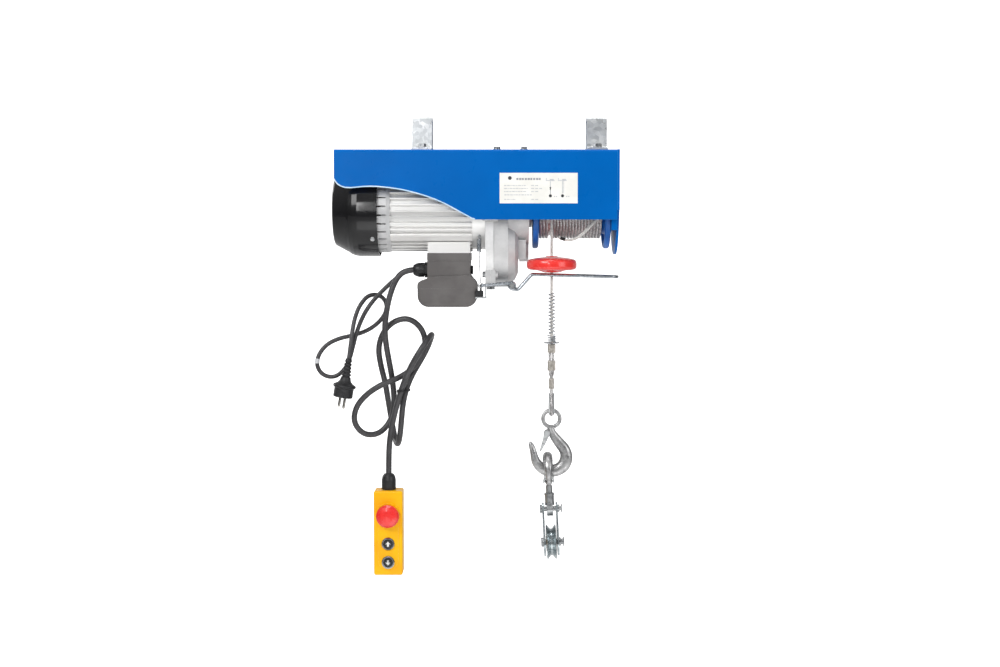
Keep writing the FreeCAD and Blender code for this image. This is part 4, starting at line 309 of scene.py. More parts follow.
# forged hook: grey galvanised skin, worn bright in scattered patches
m = Mat("forged_steel")
col = m.mix(m.to_range(m.noise(60.0, 6.0, 0.65), 0, 1, 0.35, 0.62, True), lin("8E8E8F"), lin("BEBEBE"))
col = m.mix(m.to_range(m.noise(380.0, 4.0, 0.6), 0, 0.5, 0.5, 0.7), col, lin("DADADA"))
m.color(col)
m.rough(m.to_range(m.noise(150.0, 5.0), 0.24, 0.5))
m.bump([(m.noise(420.0, 5.0, 0.65), 0.45, 0.0004), (m.noise(45.0, 3.0), 0.25, 0.001)])
m.set(Metallic=0.93)
MATS["forged_steel"] = m.m

# wire rope: bright drawn wires laid across each strand
m = Mat("wire_rope")
col = m.mix(m.to_range(m.noise(700.0, 4.0, 0.6), 0, 1, 0.4, 0.6), lin("A5A3A4"), lin("EEECEB"))
col = m.mix(m.to_range(m.noise(60.0, 3.0), 0, 0.4, 0.4, 0.7, True), col, lin("7A787A"))
m.color(col)
m.rough(m.to_range(m.noise(500.0, 4.0), 0.2, 0.42))
m.bump([(m.noise(2400.0, 3.0), 0.4, 0.0002)])
m.set(Metallic=0.7)
MATS["wire_rope"] = m.m


def paint(obj, name):
    obj.data.materials.clear()
    obj.data.materials.append(MATS[name])


# the record's slots and the looks of this scene share their names
slot_of = {p["node"]: p["material_slot"] for p in frame["record"]["subparts"]}
for nm, ob in nodes.items():
    slot_name = slot_of.get(nm, nm)
    if slot_name in MATS:
        mat = MATS["sheave_steel" if nm in ("sheave", "block_cheeks") else slot_name]
        if len(ob.material_slots) == 0:
            ob.data.materials.append(mat)
        for k in range(len(ob.material_slots)):
            ob.material_slots[k].material = mat


# ---------------------------------------------------------------------------
# mesh helpers, all in millimetres of the row frame
# ---------------------------------------------------------------------------
def make(name, verts, faces, mat, body, smooth=35.0, slot=None, ride=True):
    me = bpy.data.meshes.new(name)
    me.from_pydata([tuple(float(c) * MM for c in v) for v in verts], [], [tuple(f) for f in faces])
    me.validate()
    me.update()
    bm = bmesh.new()
    bm.from_mesh(me)
    bmesh.ops.recalc_face_normals(bm, faces=bm.faces)
    bm.to_mesh(me)
    bm.free()
    me.shade_smooth()
    if smooth < 180:
        me.set_sharp_from_angle(angle=math.radians(smooth))
    ob = bpy.data.objects.new(name, me)
    bpy.context.scene.collection.objects.link(ob)
    ob.data.materials.append(MATS[mat])
    if ride:
        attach(ob, body)
    return ob


class Mesh(object):
    """Collects verts and faces of several closed forms."""

    def __init__(self):
        self.v, self.f = [], []

    def add(self, verts, faces):
        k = len(self.v)
        self.v += [tuple(float(c) for c in p) for p in verts]
        self.f += [tuple(i + k for i in q) for q in faces]
        return self

    def done(self, name, mat, body, **kw):
        return make(name, self.v, self.f, mat, body, **kw)


def frames(P, closed=False):
    """Tangents and two normals along a line, with no twist."""
    P = np.asarray(P, float)
    T = np.zeros_like(P)
    T[1:-1] = P[2:] - P[:-2]
    T[0], T[-1] = P[1] - P[0], P[-1] - P[-2]
    if closed:
        T[0] = T[-1] = P[1] - P[-2]
    T /= np.linalg.norm(T, axis=1)[:, None]
    a = np.array([0, 0, 1.0]) if abs(T[0][2]) < 0.9 else np.array([0, 1.0, 0])
    n0 = np.cross(T[0], a)
    n0 /= np.linalg.norm(n0)
    N = [n0]
    for i in range(1, len(P)):
        v = np.cross(T[i - 1], T[i])
        s = np.linalg.norm(v)
        c = float(np.dot(T[i - 1], T[i]))
        nn = N[-1]
        if s > 1e-9:
            ax = v / s
            ang = math.atan2(s, c)
            nn = nn * math.cos(ang) + np.cross(ax, nn) * math.sin(ang) + ax * np.dot(ax, nn) * (1 - math.cos(ang))
        nn = nn - T[i] * np.dot(nn, T[i])
        nn /= np.linalg.norm(nn)
        N.append(nn)
    N = np.array(N)
    B = np.cross(T, N)
    return P, T, N, B


def sweep(P, section, twist=0.0, scale=None, cap=True):
    """section: list of (u, v) in mm; twist in radians per mm of length."""
    P, T, N, B = frames(P)
    L = np.concatenate([[0], np.cumsum(np.linalg.norm(np.diff(P, axis=0), axis=1))])
    sec = np.asarray(section, float)
    verts = []
    for i in range(len(P)):
        a = twist * L[i]
        c, s = math.cos(a), math.sin(a)
        k = 1.0 if scale is None else scale[i]
        u = (sec[:, 0] * c - sec[:, 1] * s) * k
        v = (sec[:, 0] * s + sec[:, 1] * c) * k
        verts.append(P[i] + np.outer(u, N[i]) + np.outer(v, B[i]))
    verts = np.concatenate(verts)
    m_, n_ = len(sec), len(P)
    faces = []
    for i in range(n_ - 1):
        for j in range(m_):
            a, b = i * m_ + j, i * m_ + (j + 1) % m_
            faces.append((a, b, b + m_, a + m_))
    if cap:
        faces.append(tuple(range(m_ - 1, -1, -1)))
        faces.append(tuple((n_ - 1) * m_ + j for j in range(m_)))
    return verts, faces


def circle(r, n=16):
    return [(r * math.cos(2 * math.pi * k / n), r * math.sin(2 * math.pi * k / n)) for k in range(n)]


def strands(r, lobes=6, per=6):
    """Outline of a rope of six strands round a core."""
    dd, rs = r * 2 / 3.0, r / 3.0
    out = []
    for k in range(lobes):
        for j in range(per):
            phi = (-30 + 60.0 * j / per) * (6.0 / lobes)
            p = math.radians(phi)
            q = max(rs * rs - (dd * math.sin(p)) ** 2, 0.0)
            rad = dd * math.cos(p) + math.sqrt(q)
            a = 2 * math.pi * k / lobes + p
            out.append((rad * math.cos(a), rad * math.sin(a)))
    return out


def arcs(pts, radii=None, factor=0.45, step=1.2):
    """Straight runs joined by tangent arcs, as points."""
    V = [np.array(p, float) for p in pts]
    out = [V[0]]
    for i in range(1, len(V) - 1):
        a, b, c = V[i - 1], V[i], V[i + 1]
        u, w = b - a, c - b
        lu, lw = np.linalg.norm(u), np.linalg.norm(w)
        u, w = u / lu, w / lw
        turn = math.acos(max(-1, min(1, float(np.dot(u, w)))))
        if turn < 1e-4:
            continue
        R = factor * min(lu, lw) / math.tan(turn / 2)
        if radii and radii.get(i):
            R = radii[i]
        t = R * math.tan(turn / 2)
        p1 = b - u * t
        bis = w - u
        bis /= np.linalg.norm(bis)
        cen = b + bis * (R / math.cos(turn / 2))
        x = p1 - cen
        ax = np.cross(u, w)
        ax /= np.linalg.norm(ax)
        k = max(3, int(math.ceil(R * turn / step)))
        for j in range(k + 1):
            ang = turn * j / k
            out.append(cen + x * math.cos(ang) + np.cross(ax, x) * math.sin(ang))
    out.append(V[-1])
    return np.array(out)


def resample(P, step):
    P = np.asarray(P, float)
    L = np.concatenate([[0], np.cumsum(np.linalg.norm(np.diff(P, axis=0), axis=1))])
    n = max(2, int(round(L[-1] / step)) + 1)
    s = np.linspace(0, L[-1], n)
    return np.stack([np.interp(s, L, P[:, k]) for k in range(3)], 1)


def lathe(profile, seg=48, closed=True):
    """profile (r, h) about +Z through the origin; r may be 0 at its ends."""
    verts, faces, rows = [], [], []
    for r, h in profile:
        if abs(r) < 1e-6:
            rows.append([len(verts)])
            verts.append((0, 0, h))
        else:
            row = []
            for k in range(seg):
                a = 2 * math.pi * k / seg
                row.append(len(verts))
                verts.append((r * math.cos(a), r * math.sin(a), h))
            rows.append(row)
    pairs = list(zip(rows[:-1], rows[1:]))
    if closed and len(rows[0]) > 1 and len(rows[-1]) > 1:
        pairs.append((rows[-1], rows[0]))
    for a, b in pairs:
        if len(a) == 1 and len(b) == 1:
            continue
        for k in range(seg):
            k2 = (k + 1) % seg
            if len(a) == 1:
                faces.append((a[0], b[k], b[k2]))
            elif len(b) == 1:
                faces.append((a[k], a[k2], b[0]))
            else:
                faces.append((a[k], a[k2], b[k2], b[k]))
    return verts, faces


def turned(profile, origin, axis, seg=48, spin=0.0):
    v, f = lathe(profile, seg)
    q = Vector((0, 0, 1)).rotation_difference(Vector(axis).normalized())
    if spin:
        q = q @ Quaternion((0, 0, 1), spin)
    o = Vector(origin)
    return [tuple(o + q @ Vector(p)) for p in v], f


def rounded(profile_pts, r=0.6, n=4):
    """Rounds the corners of an (r, h) profile."""
    out = []
    P = [np.array(p, float) for p in profile_pts]
    for i, p in enumerate(P):
        if i in (0, len(P) - 1):
            out.append(tuple(p))
            continue
        a, c = P[i - 1] - p, P[i + 1] - p
        la, lc = np.linalg.norm(a), np.linalg.norm(c)
        if la < 1e-6 or lc < 1e-6:
            out.append(tuple(p))
            continue
        t = min(r, la * 0.45, lc * 0.45)
        s, e = p + a / la * t, p + c / lc * t
        for j in range(n + 1):
            k = j / n
            out.append(tuple(s * (1 - k) ** 2 + p * 2 * k * (1 - k) + e * k * k))
    return out


def block(lo, hi, bevel=0.6, seg=2):
    bm = bmesh.new()
    bmesh.ops.create_cube(bm, size=1.0)
    for v in bm.verts:
        v.co = Vector([lo[i] + (v.co[i] + 0.5) * (hi[i] - lo[i]) for i in range(3)])
    if bevel > 0:
        bmesh.ops.bevel(bm, geom=list(bm.edges), offset=bevel, segments=seg, profile=0.5, affect="EDGES")
    vs = [tuple(v.co) for v in bm.verts]
    idx = {v: k for k, v in enumerate(bm.verts)}
    fs = [tuple(idx[v] for v in f.verts) for f in bm.faces]
    bm.free()
    return vs, fs


def prism(outline, h, origin, ux, uy, bevel=0.0):
    """Closed outline in the plane (ux, uy), raised along their cross product."""
    ux, uy = Vector(ux), Vector(uy)
    uz = ux.cross(uy).normalized()
    o = Vector(origin)
    n_ = len(outline)
    cx = sum(p[0] for p in outline) / n_
    cy = sum(p[1] for p in outline) / n_
    levels = [(1.0, 0.0, 0.0), (1.0, h - bevel, 0.0), (1.0, h, bevel)] if bevel else [(1.0, 0.0, 0.0), (1.0, h, 0.0)]
    verts = []
    for _, z, inset in levels:
        for x, y in outline:
            d_ = math.hypot(x - cx, y - cy) or 1.0
            k = (d_ - inset) / d_
            verts.append(tuple(o + ux * (cx + (x - cx) * k) + uy * (cy + (y - cy) * k) + uz * z))
    faces = [tuple(range(n_ - 1, -1, -1)), tuple(range((len(levels) - 1) * n_, len(levels) * n_))]
    for l in range(len(levels) - 1):
        for k in range(n_):
            a, b = l * n_ + k, l * n_ + (k + 1) % n_
            faces.append((a, b, b + n_, a + n_))
    return verts, faces


def helix(radius, z0, z1, turns, x, y, n=28, start=0.0, flat_ends=0.0):
    pts = []
    total = int(n * turns)
    for k in range(total + 1):
        f = k / total
        a = start + 2 * math.pi * turns * f
        pts.append((x + radius * math.cos(a), y + radius * math.sin(a), z0 + (z1 - z0) * f))
    return np.array(pts)


def nurbs(name, route, radius, mat, body):
    """One open smooth spline with the route's points as its control points."""
    cu = bpy.data.curves.new(name, "CURVE")
    cu.dimensions = "3D"
    sp = cu.splines.new("NURBS")
    sp.points.add(len(route) - 1)
    for k, p in enumerate(route):
        sp.points[k].co = (p[0] * MM, p[1] * MM, p[2] * MM, 1.0)
    sp.order_u = 3
    sp.use_endpoint_u = True
    cu.resolution_u = 12
    ob = bpy.data.objects.new(name, cu)
    bpy.context.scene.collection.objects.link(ob)
    bpy.context.view_layer.update()
    tmp = bpy.data.meshes.new_from_object(ob)
    line = np.array([v.co for v in tmp.vertices], float) / MM
    bpy.data.meshes.remove(tmp)
    cu.bevel_depth = radius * MM
    cu.bevel_resolution = 8
    cu.use_fill_caps = True
    cu.materials.append(MATS[mat])
    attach(ob, body)
    return ob, line


# ---------------------------------------------------------------------------
# camera, floor, light
# ---------------------------------------------------------------------------
cam_data = bpy.data.cameras.new("camera")
cam_data.sensor_width = 36.0
cam_data.lens = 53.321
cam = bpy.data.objects.new("camera", cam_data)
bpy.context.scene.collection.objects.link(cam)
cam.location = (-0.01628, -2.57785, -0.2189)
cam.rotation_euler = (math.radians(90 - 3.302), 0, 0)
bpy.context.scene.camera = cam

fl = Mat("studio_floor")
fl.color(fl.mix(fl.to_range(fl.noise(0.8, 3.0), 0, 1, 0.3, 0.7, True), (0.90, 0.90, 0.90), (0.92, 0.92, 0.92)))
fl.rough(fl.to_range(fl.noise(3.0, 3.0), 0.75, 0.9))
flp = fl.add("ShaderNodeLightPath")
fl.link(fl.to_range(flp.outputs["Is Camera Ray"], 0.07, 0.9, 0.0, 1.0), fl.b.inputs["Emission Strength"])
fl.set(Emission_Color=(1, 1, 1, 1))
prof = [(-6.0, -1.9), (2.0, -1.9)]
for k in range(1, 17):
    a = math.pi / 2 * k / 16
    prof.append((2.0 + 1.3 * math.sin(a), -1.9 + 1.3 * (1 - math.cos(a))))
prof.append((3.3, 4.0))
vs, fs = [], []
for yy, zz in prof:
    vs += [(-7.0, yy, zz), (7.0, yy, zz)]
for k in range(len(prof) - 1):
    fs.append((2 * k, 2 * k + 1, 2 * k + 3, 2 * k + 2))
me = bpy.data.meshes.new("floor")
me.from_pydata(vs, [], fs)
me.shade_smooth()
floor = bpy.data.objects.new("floor", me)
bpy.context.scene.collection.objects.link(floor)
me.materials.append(fl.m)
floor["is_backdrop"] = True

world = bpy.data.worlds.new("studio")
bpy.context.scene.world = world
world.use_nodes = True
wt = world.node_tree
bg = [n for n in wt.nodes if n.type == "BACKGROUND"][0]
geo = wt.nodes.new("ShaderNodeTexCoord")
sep = wt.nodes.new("ShaderNodeSeparateXYZ")
ramp = wt.nodes.new("ShaderNodeValToRGB")
mr = wt.nodes.new("ShaderNodeMapRange")
mr.inputs["From Min"].default_value = -1
mr.inputs["From Max"].default_value = 1
wt.links.new(geo.outputs["Generated"], sep.inputs[0])
wt.links.new(sep.outputs["Z"], mr.inputs["Value"])
wt.links.new(mr.outputs["Result"], ramp.inputs[0])
el = ramp.color_ramp.elements
el[0].position, el[0].color = 0.0, (0.50, 0.50, 0.50, 1)
el[1].position, el[1].color = 1.0, (1.0, 1.0, 1.0, 1)
e = el.new(0.45); e.color = (0.16, 0.16, 0.165, 1)
e = el.new(0.58); e.color = (0.40, 0.40, 0.41, 1)
wt.links.new(ramp.outputs[0], bg.inputs["Color"])
bg.inputs["Strength"].default_value = 0.5
pale = wt.nodes.new("ShaderNodeBackground")
pale.inputs["Color"].default_value = (1.0, 1.0, 1.0, 1.0)
pale.inputs["Strength"].default_value = 1.0
wlp = wt.nodes.new("ShaderNodeLightPath")
wmix = wt.nodes.new("ShaderNodeMixShader")
wout = [n for n in wt.nodes if n.type == "OUTPUT_WORLD"][0]
wt.links.new(wlp.outputs["Is Camera Ray"], wmix.inputs[0])
wt.links.new(bg.outputs[0], wmix.inputs[1])
wt.links.new(pale.outputs[0], wmix.inputs[2])
wt.links.new(wmix.outputs[0], wout.inputs["Surface"])


def area(name, loc, target, size, power, size_y=None, color=(1, 1, 1)):
    li = bpy.data.lights.new(name, "AREA")
    li.energy = power
    li.size = size
    if size_y:
        li.shape = "RECTANGLE"
        li.size_y = size_y
    li.color = color
    ob = bpy.data.objects.new(name, li)
    ob.location = loc
    ob.rotation_mode = "QUATERNION"
    ob.rotation_quaternion = (Vector(target) - Vector(loc)).to_track_quat("-Z", "Y")
    bpy.context.scene.collection.objects.link(ob)
    return ob


area("key", (-1.5, -2.1, 1.1), (0, 0, -0.3), 1.3, 38, 1.3)
area("fill", (1.9, -1.8, 0.2), (0, 0, -0.35), 1.4, 20, 1.8)
area("top", (0.1, -0.1, 2.1), (0, 0, -0.2), 1.6, 26, 1.0)
area("back_left", (-1.9, 1.4, 0.4), (0, 0, -0.3), 0.9, 14, 1.6)
area("low", (0.2, -1.6, -1.7), (0, 0, -0.3), 2.4, 11, 1.2)
area("strip", (-0.52, -2.3, 0.22), (-0.2, -0.08, -0.22), 0.10, 6.0, 0.85)
bpy.context.scene.view_settings.view_transform = "Standard"

# ---------------------------------------------------------------------------
# cables
# ---------------------------------------------------------------------------
PENDANT_ROUTE = [
    (-165.7, -20.0, -256.4), (-179.0, -20.0, -257.8), (-191.6, -20.5, -266.6), (-201.0, -21.5, -284.0), (-207.9, -22.5, -306.0),
    (-212.9, -23.3, -331.0), (-215.7, -22.6, -359.0), (-213.4, -18.8, -387.0), (-208.8, -13.5, -415.0), (-204.2, -9.0, -443.0),
    (-201.2, -5.0, -471.0), (-201.0, -1.0, -498.5), (-209.3, -1.0, -524.5), (-228.5, -6.0, -544.0), (-254.2, -13.0, -543.5),
    (-271.0, -17.5, -521.5), (-266.6, -21.5, -493.8), (-246.2, -25.5, -470.2), (-219.6, -30.0, -453.4), (-193.0, -23.5, -444.2),
    (-170.6, -16.5, -430.4), (-153.4, -10.5, -409.7), (-144.6, -8.0, -383.5), (-152.3, -8.0, -356.8), (-175.0, -7.0, -339.5),
    (-202.3, -4.0, -345.9), (-221.9, 0.0, -367.3), (-229.3, 4.0, -394.9), (-224.9, 10.0, -425.5), (-217.9, 18.0, -455.6),
    (-214.3, 28.5, -485.0), (-210.6, 38.5, -513.5), (-206.4, 44.5, -541.0), (-200.5, 27.0, -562.0), (-194.6, 1.0, -562.5),
    (-190.0, -16.6, -544.0), (-187.4, -18.0, -516.5), (-184.8, -18.8, -488.5), (-178.6, -17.6, -461.5), (-168.0, -8.0, -436.5),
    (-154.6, 10.0, -414.5), (-142.8, 20.5, -392.0), (-135.5, 8.0, -372.2), (-134.5, -17.0, -367.6), (-139.6, -40.5, -374.0),
    (-150.8, -52.5, -391.0), (-163.8, -50.5, -412.0), (-174.6, -41.5, -433.0), (-183.8, -32.5, -455.0), (-191.4, -27.5, -478.5),
    (-198.2, -25.2, -502.5), (-203.9, -24.0, -527.0), (-207.8, -22.8, -552.0), (-209.5, -21.4, -578.5), (-209.7, -20.0, -610.5)]
MAINS_ROUTE = [
    (-165.7, 18.0, -256.4), (-180.0, 17.6, -259.4), (-194.0, 14.6, -268.4), (-208.8, 10.8, -281.2), (-226.2, 8.4, -297.9),
    (-243.6, 8.0, -317.4), (-257.6, 8.2, -341.0), (-267.6, 10.0, -367.0), (-274.2, 13.6, -392.0), (-280.2, 16.0, -414.0),
    (-290.0, 17.2, -433.0), (-306.2, 17.6, -446.0), (-326.6, 17.6, -443.2), (-338.8, 18.2, -427.0), (-336.2, 20.4, -406.6),
    (-321.8, 24.2, -388.2), (-300.0, 27.4, -377.6), (-275.4, 29.4, -372.8), (-250.4, 29.6, -364.6), (-229.2, 28.2, -349.8),
    (-215.6, 26.2, -330.0), (-216.2, 24.2, -311.8), (-229.0, 22.4, -300.2), (-246.6, 20.6, -301.2), (-258.8, 17.0, -314.0),
    (-267.4, 11.4, -331.4), (-272.8, 4.4, -354.0), (-275.6, -2.0, -380.0), (-279.3, -6.0, -411.1)]
pend, pend_line = nurbs("pendant_cable_sheath", PENDANT_ROUTE, 5.0, "cable_sheath", "root")
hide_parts("pendant_cable")
mains, mains_line = nurbs("mains_lead_sheath", MAINS_ROUTE, 3.75, "cable_sheath", "root")
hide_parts("mains_lead")

AZ = -154.7
RX, RY = 72.0, -45.5
ROPE_R = 2.5
LAY = 2 * math.pi / 34.0
SEC = strands(ROPE_R)

# ---------------------------------------------------------------------------
# plug, label band and cable tie
# ---------------------------------------------------------------------------
PT = Vector((-279.3, -6.0, -411.1))
PA = Vector((-0.165, 0.0, -0.9863)).normalized()
PQ = Vector((0, 0, 1)).rotation_difference(PA) @ Quaternion((0, 0, 1), math.radians(59.0))
prof = [(0, 0), (4.6, 0), (5.3, 0.8)]
for k in range(5):
    z_ = 3.0 + 6.0 * k
    r_ = 6.0 + 0.5 * k
    prof += [(r_ - 0.35, z_ - 0.4), (r_, z_ + 0.3), (r_ + 0.12, z_ + 2.2), (r_ - 0.3, z_ + 3.1), (r_ - 1.25, z_ + 3.7), (r_ - 1.3, z_ + 4.9)]
prof += [(8.4, 32.6), (9.0, 36.5), (10.6, 40.2), (13.6, 43.4), (17.4, 45.4), (19.2, 46.4), (19.85, 47.6), (19.85, 49.6), (19.2, 50.6), (17.6, 51.2), (17.0, 52.2),
         (16.9, 60.0), (17.0, 66.6), (16.4, 67.9), (15.2, 68.5), (0, 68.5)]
v, f = lathe(prof, 64)
# finger grips: shallow flats pressed into the round body
out = []
for p in v:
    r_ = math.hypot(p[0], p[1])
    a = math.atan2(p[1], p[0])
    if 51.5 < p[2] < 67.5 and r_ > 10:
        g = 0.5 * (1 + math.cos(2 * a)) ** 2 / 4.0
        r2 = r_ - 1.5 * g
        p = (r2 * math.cos(a), r2 * math.sin(a), p[2])
    out.append(tuple(PT + PQ @ Vector(p)))
plug_rubber = make("plug_rubber_body", out, f, "plug_rubber", "root", smooth=50, slot="plug_rubber")
pm = Mesh()
for s in (-1, 1):
    v, f = lathe([(0, 0), (2.4, 0), (2.4, 15.6), (2.25, 16.9), (1.7, 18.2), (0.9, 18.9), (0, 19.0)], 24)
    pm.add([tuple(PT + PQ @ (Vector(p) + Vector((9.5 * s, 0, 68.3)))) for p in v], f)
    v, f = lathe([(2.5, 0), (4.2, 0), (4.2, 0.5), (3.9, 0.9), (2.5, 0.9)], 28)
plug_pins = pm.done("plug_pins", "pin_nickel", "root", slot="bezel_chrome")
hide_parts("mains_plug")

# white band clipped round the lead
def along(line, s0, s1, n=24):
    L = np.concatenate([[0], np.cumsum(np.linalg.norm(np.diff(line, axis=0), axis=1))])
    t = np.linspace(s0, s1, n)
    return np.stack([np.interp(t, L, line[:, k]) for k in range(3)], 1)


def arc_at(line, point):
    L = np.concatenate([[0], np.cumsum(np.linalg.norm(np.diff(line, axis=0), axis=1))])
    k = int(np.argmin(np.linalg.norm(line - np.array(point, float), axis=1)))
    return L[k]


s_lab = arc_at(mains_line, (-338.0, 19.0, -417.0))
seg = along(mains_line, s_lab - 4.2, s_lab + 4.2, 24)
ring_ = [(4.05 * math.cos(a), 4.05 * math.sin(a)) for a in [2 * math.pi * k / 32 for k in range(32)]]
v, f = sweep(seg, ring_, scale=[0.94] + [1.0] * 22 + [0.94])
label_band = make("lead_label_band", v, f, "band_grey", "root", smooth=40)

# ---------------------------------------------------------------------------
# wire rope: six strands laid round a core
# ---------------------------------------------------------------------------
pitch = 5.25
def on_drum(phi, x, r=45.5):
    return (x, -r * math.cos(phi), AZ + r * math.sin(phi))


turns = 16
pts = []
for k in range(int(turns * 84) + 1):
    phi = 2 * math.pi * k / 84.0
    pts.append(on_drum(phi, RX + pitch * phi / (2 * math.pi)))
ph = 2 * math.pi * turns
for k in range(1, 12):
    pts.append(on_drum(ph + 0.05 * k, RX + pitch * (ph + 0.05 * k) / (2 * math.pi) + 0.1 * k, 45.5 - 0.25 * k))
rm = Mesh()
rm.add(*sweep(pts, SEC, LAY))
pts = []
for k in range(11, 0, -1):
    pts.append(on_drum(2.6 - 0.05 * k, 66.2 + 0.06 * k, 45.5 - 0.3 * k))
for k in range(int(2.45 * 84)):
    phi = 2.6 + 2 * math.pi * k / 84.0
    pts.append(on_drum(phi, 66.2 - pitch * (phi - 2.6) / (2 * math.pi)))
e = 2.6 + 2 * math.pi * int(2.45 * 84) / 84.0
for k in range(1, 12):
    pts.append(on_drum(e + 0.05 * k, 66.2 - pitch * (e - 2.6 + 0.05 * k) / (2 * math.pi), 45.5 - 0.3 * k))
rm.add(*sweep(pts, SEC, LAY))
# inner layer, seen in the gap that the falling rope leaves
v, f = lathe([(38.1, 0), (42.6, 0.2)] + [(42.4 + 0.55 * abs(math.sin(math.pi * (k + 0.5) / 5.25)), 0.2 + k) for k in range(1, 103)] + [(42.6, 103.4), (38.1, 103.6)], 72)
rm.add([(54.4 + p[2], p[0], AZ + p[1]) for p in v], f)
wound = rm.done("wound_rope", "wire_rope", "drum", smooth=70, slot="wire_rope")
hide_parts("rope_windings")

wrap = [on_drum(0.9 - 0.06 * k, RX + 0.0) for k in range(15)]
fall_pts = wrap + [(RX, RY, AZ - 0.02 - t) for t in np.arange(0.0, 243.5, 2.4)] + [(RX, RY, -397.9)]
scl = [0.9] * 15 + [1.0] * (len(fall_pts) - 15)
v, f = sweep(fall_pts, SEC, LAY, scale=scl)
fall = make("falling_rope", v, f, "rope_bright", None, smooth=70, slot="wire_rope", ride=False)
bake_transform(fall)
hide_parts("rope_fall")

# loose end of the rope, its wires splayed a little at the cut
tail_pts = [(167.4, -51.5, -160.5), (156.5, -54.0, -164.5), (146.0, -55.2, -172.0), (135.5, -56.5, -184.0), (124.0, -57.0, -195.0), (112.0, -57.0, -203.5),
            (99.5, -56.5, -206.3), (85.0, -55.5, -201.5)]
tl = resample(arcs(tail_pts), 1.2)
tm = Mesh()
tm.add(*sweep(tl, SEC, LAY))
tp, tt, tn, tb = frames(tl)
for k in range(6):
    a = 2 * math.pi * k / 6 + LAY * 96
    d0 = tn[-1] * math.cos(a) + tb[-1] * math.sin(a)
    base_ = tp[-1] - tt[-1] * 1.0 + d0 * 1.35
    tm.add(*sweep([base_, base_ + tt[-1] * 1.6 + d0 * 0.15, base_ + tt[-1] * (2.4 + 0.5 * (k % 3)) + d0 * 0.45], circle(0.62, 8)))
bd = tl[-9:-1]
tape = make("rope_end_tape", *sweep(bd, circle(2.72, 28)), "tie_black", "drum", smooth=40)
tail = tm.done("loose_rope_end", "rope_bright", "drum", smooth=70, slot="wire_rope")
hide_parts("rope_tail")

# doubled rope through the ferrules and round the thimble
top = -383.4
def leg(s_):
    return [(RX + s_ * 2.75, RY, top), (RX + s_ * 2.75, RY, -428.9), (RX + 1.98 * s_, RY + s_ * 1.98, -435.0), (RX, RY + s_ * 2.75, -441.2),
            (RX, RY + s_ * 2.80, -463.5), (RX, RY + s_ * 12.4, -486.0), (RX, RY + s_ * 12.65, -505.0)]


rad = {1: 12.0, 2: 12.0, 3: 12.0, 4: 20.0, 5: 20.0, 6: 12.3, 7: 12.3, 8: 20.0, 9: 20.0, 10: 12.0, 11: 12.0, 12: 12.0}
ep = resample(arcs(leg(-1) + leg(1)[::-1], rad), 1.1)
v, f = sweep(ep, strands(2.52), LAY)
eye = make("rope_loop", v, f, "wire_rope", "hook_line", smooth=70, slot="wire_rope")
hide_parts("rope_eye")

# pressed sleeves with their crimp marks
fm = Mesh()
def sleeve(z0, z1, wide, deep, swap=False):
    h = z1 - z0
    rows = [(0.90, 0.0), (0.98, 0.5), (1.0, 1.2), (0.985, h * 0.25), (0.95, h * 0.36), (0.985, h * 0.47), (0.985, h * 0.53), (0.95, h * 0.64), (0.985, h * 0.75), (1.0, h - 1.2), (0.98, h - 0.5), (0.90, h)]
    verts, faces = [], []
    nseg = 40
    for k_, z_ in rows:
        for j in range(nseg):
            a = 2 * math.pi * j / nseg
            c, s = math.cos(a), math.sin(a)
            e_ = 0.55
            x = wide / 2 * k_ * math.copysign(abs(c) ** e_, c)
            y = deep / 2 * k_ * math.copysign(abs(s) ** e_, s)
            if swap:
                x, y = y, x
            verts.append((RX + x, RY + y, z0 + z_))
    for i in range(len(rows) - 1):
        for j in range(nseg):
            a, b = i * nseg + j, i * nseg + (j + 1) % nseg
            faces.append((a, b, b + nseg, a + nseg))
    faces.append(tuple(range(nseg - 1, -1, -1)))
    faces.append(tuple((len(rows) - 1) * nseg + j for j in range(nseg)))
    return verts, faces


fm.add(*sleeve(-397.8, -383.0, 14.0, 9.0))
fm.add(*sleeve(-428.3, -411.7, 14.0, 9.0))
fm.add(*sleeve(-459.8, -442.0, 14.0, 9.0, True))
sleeves = fm.done("pressed_sleeves", "ferrule_aluminium", "hook_line", smooth=60, slot="ferrule_aluminium")
v, f = turned([(2.7, 0), (13.6, 0), (14.0, 0.4), (14.0, 1.1), (13.6, 1.5), (2.7, 1.5)], (RX, RY, -381.6), (0, 0, 1), 48)
washer = make("buffer_washer", v, f, "lever_zinc", "hook_line", smooth=35, slot="lever_zinc")
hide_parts("rope_ferrules")

# ---------------------------------------------------------------------------
# limit lever, its return spring, and the buffer springs: bright wire
# ---------------------------------------------------------------------------
px_, pz_ = 4.2, -283.0
y1, y2 = RY - 11.0, RY + 11.0
pts = [(px_ - 0.8, y1, pz_ - 4.95), (14.8, y1, pz_ - 6.3), (37.8, y1, -263.4), (176.6, y1, -267.2), (183.6, y1 + 7.0, -267.45), (183.6, y2 - 7.0, -267.45), (176.6, y2, -267.2),
       (37.8, y2, -263.4), (14.8, y2, pz_ - 6.3), (px_ - 0.8, y2, pz_ - 4.95)]
lm = Mesh()
lm.add(*sweep(arcs(pts, {1: 6.0, 2: 8.0, 3: 7.5, 4: 7.5, 5: 7.5, 6: 7.5, 7: 8.0, 8: 6.0}, step=0.9) - np.array([0.0, 0.0, 0.35]), circle(2.85, 28)))
pts = [(px_, y1, pz_ + 4.9), (-49.0, y1, pz_), (-49.0, y2, pz_), (px_, y2, pz_ + 4.9)]
lm.add(*sweep(arcs(pts, {1: 4.5, 2: 4.5}, step=0.7), circle(2.5, 24)))
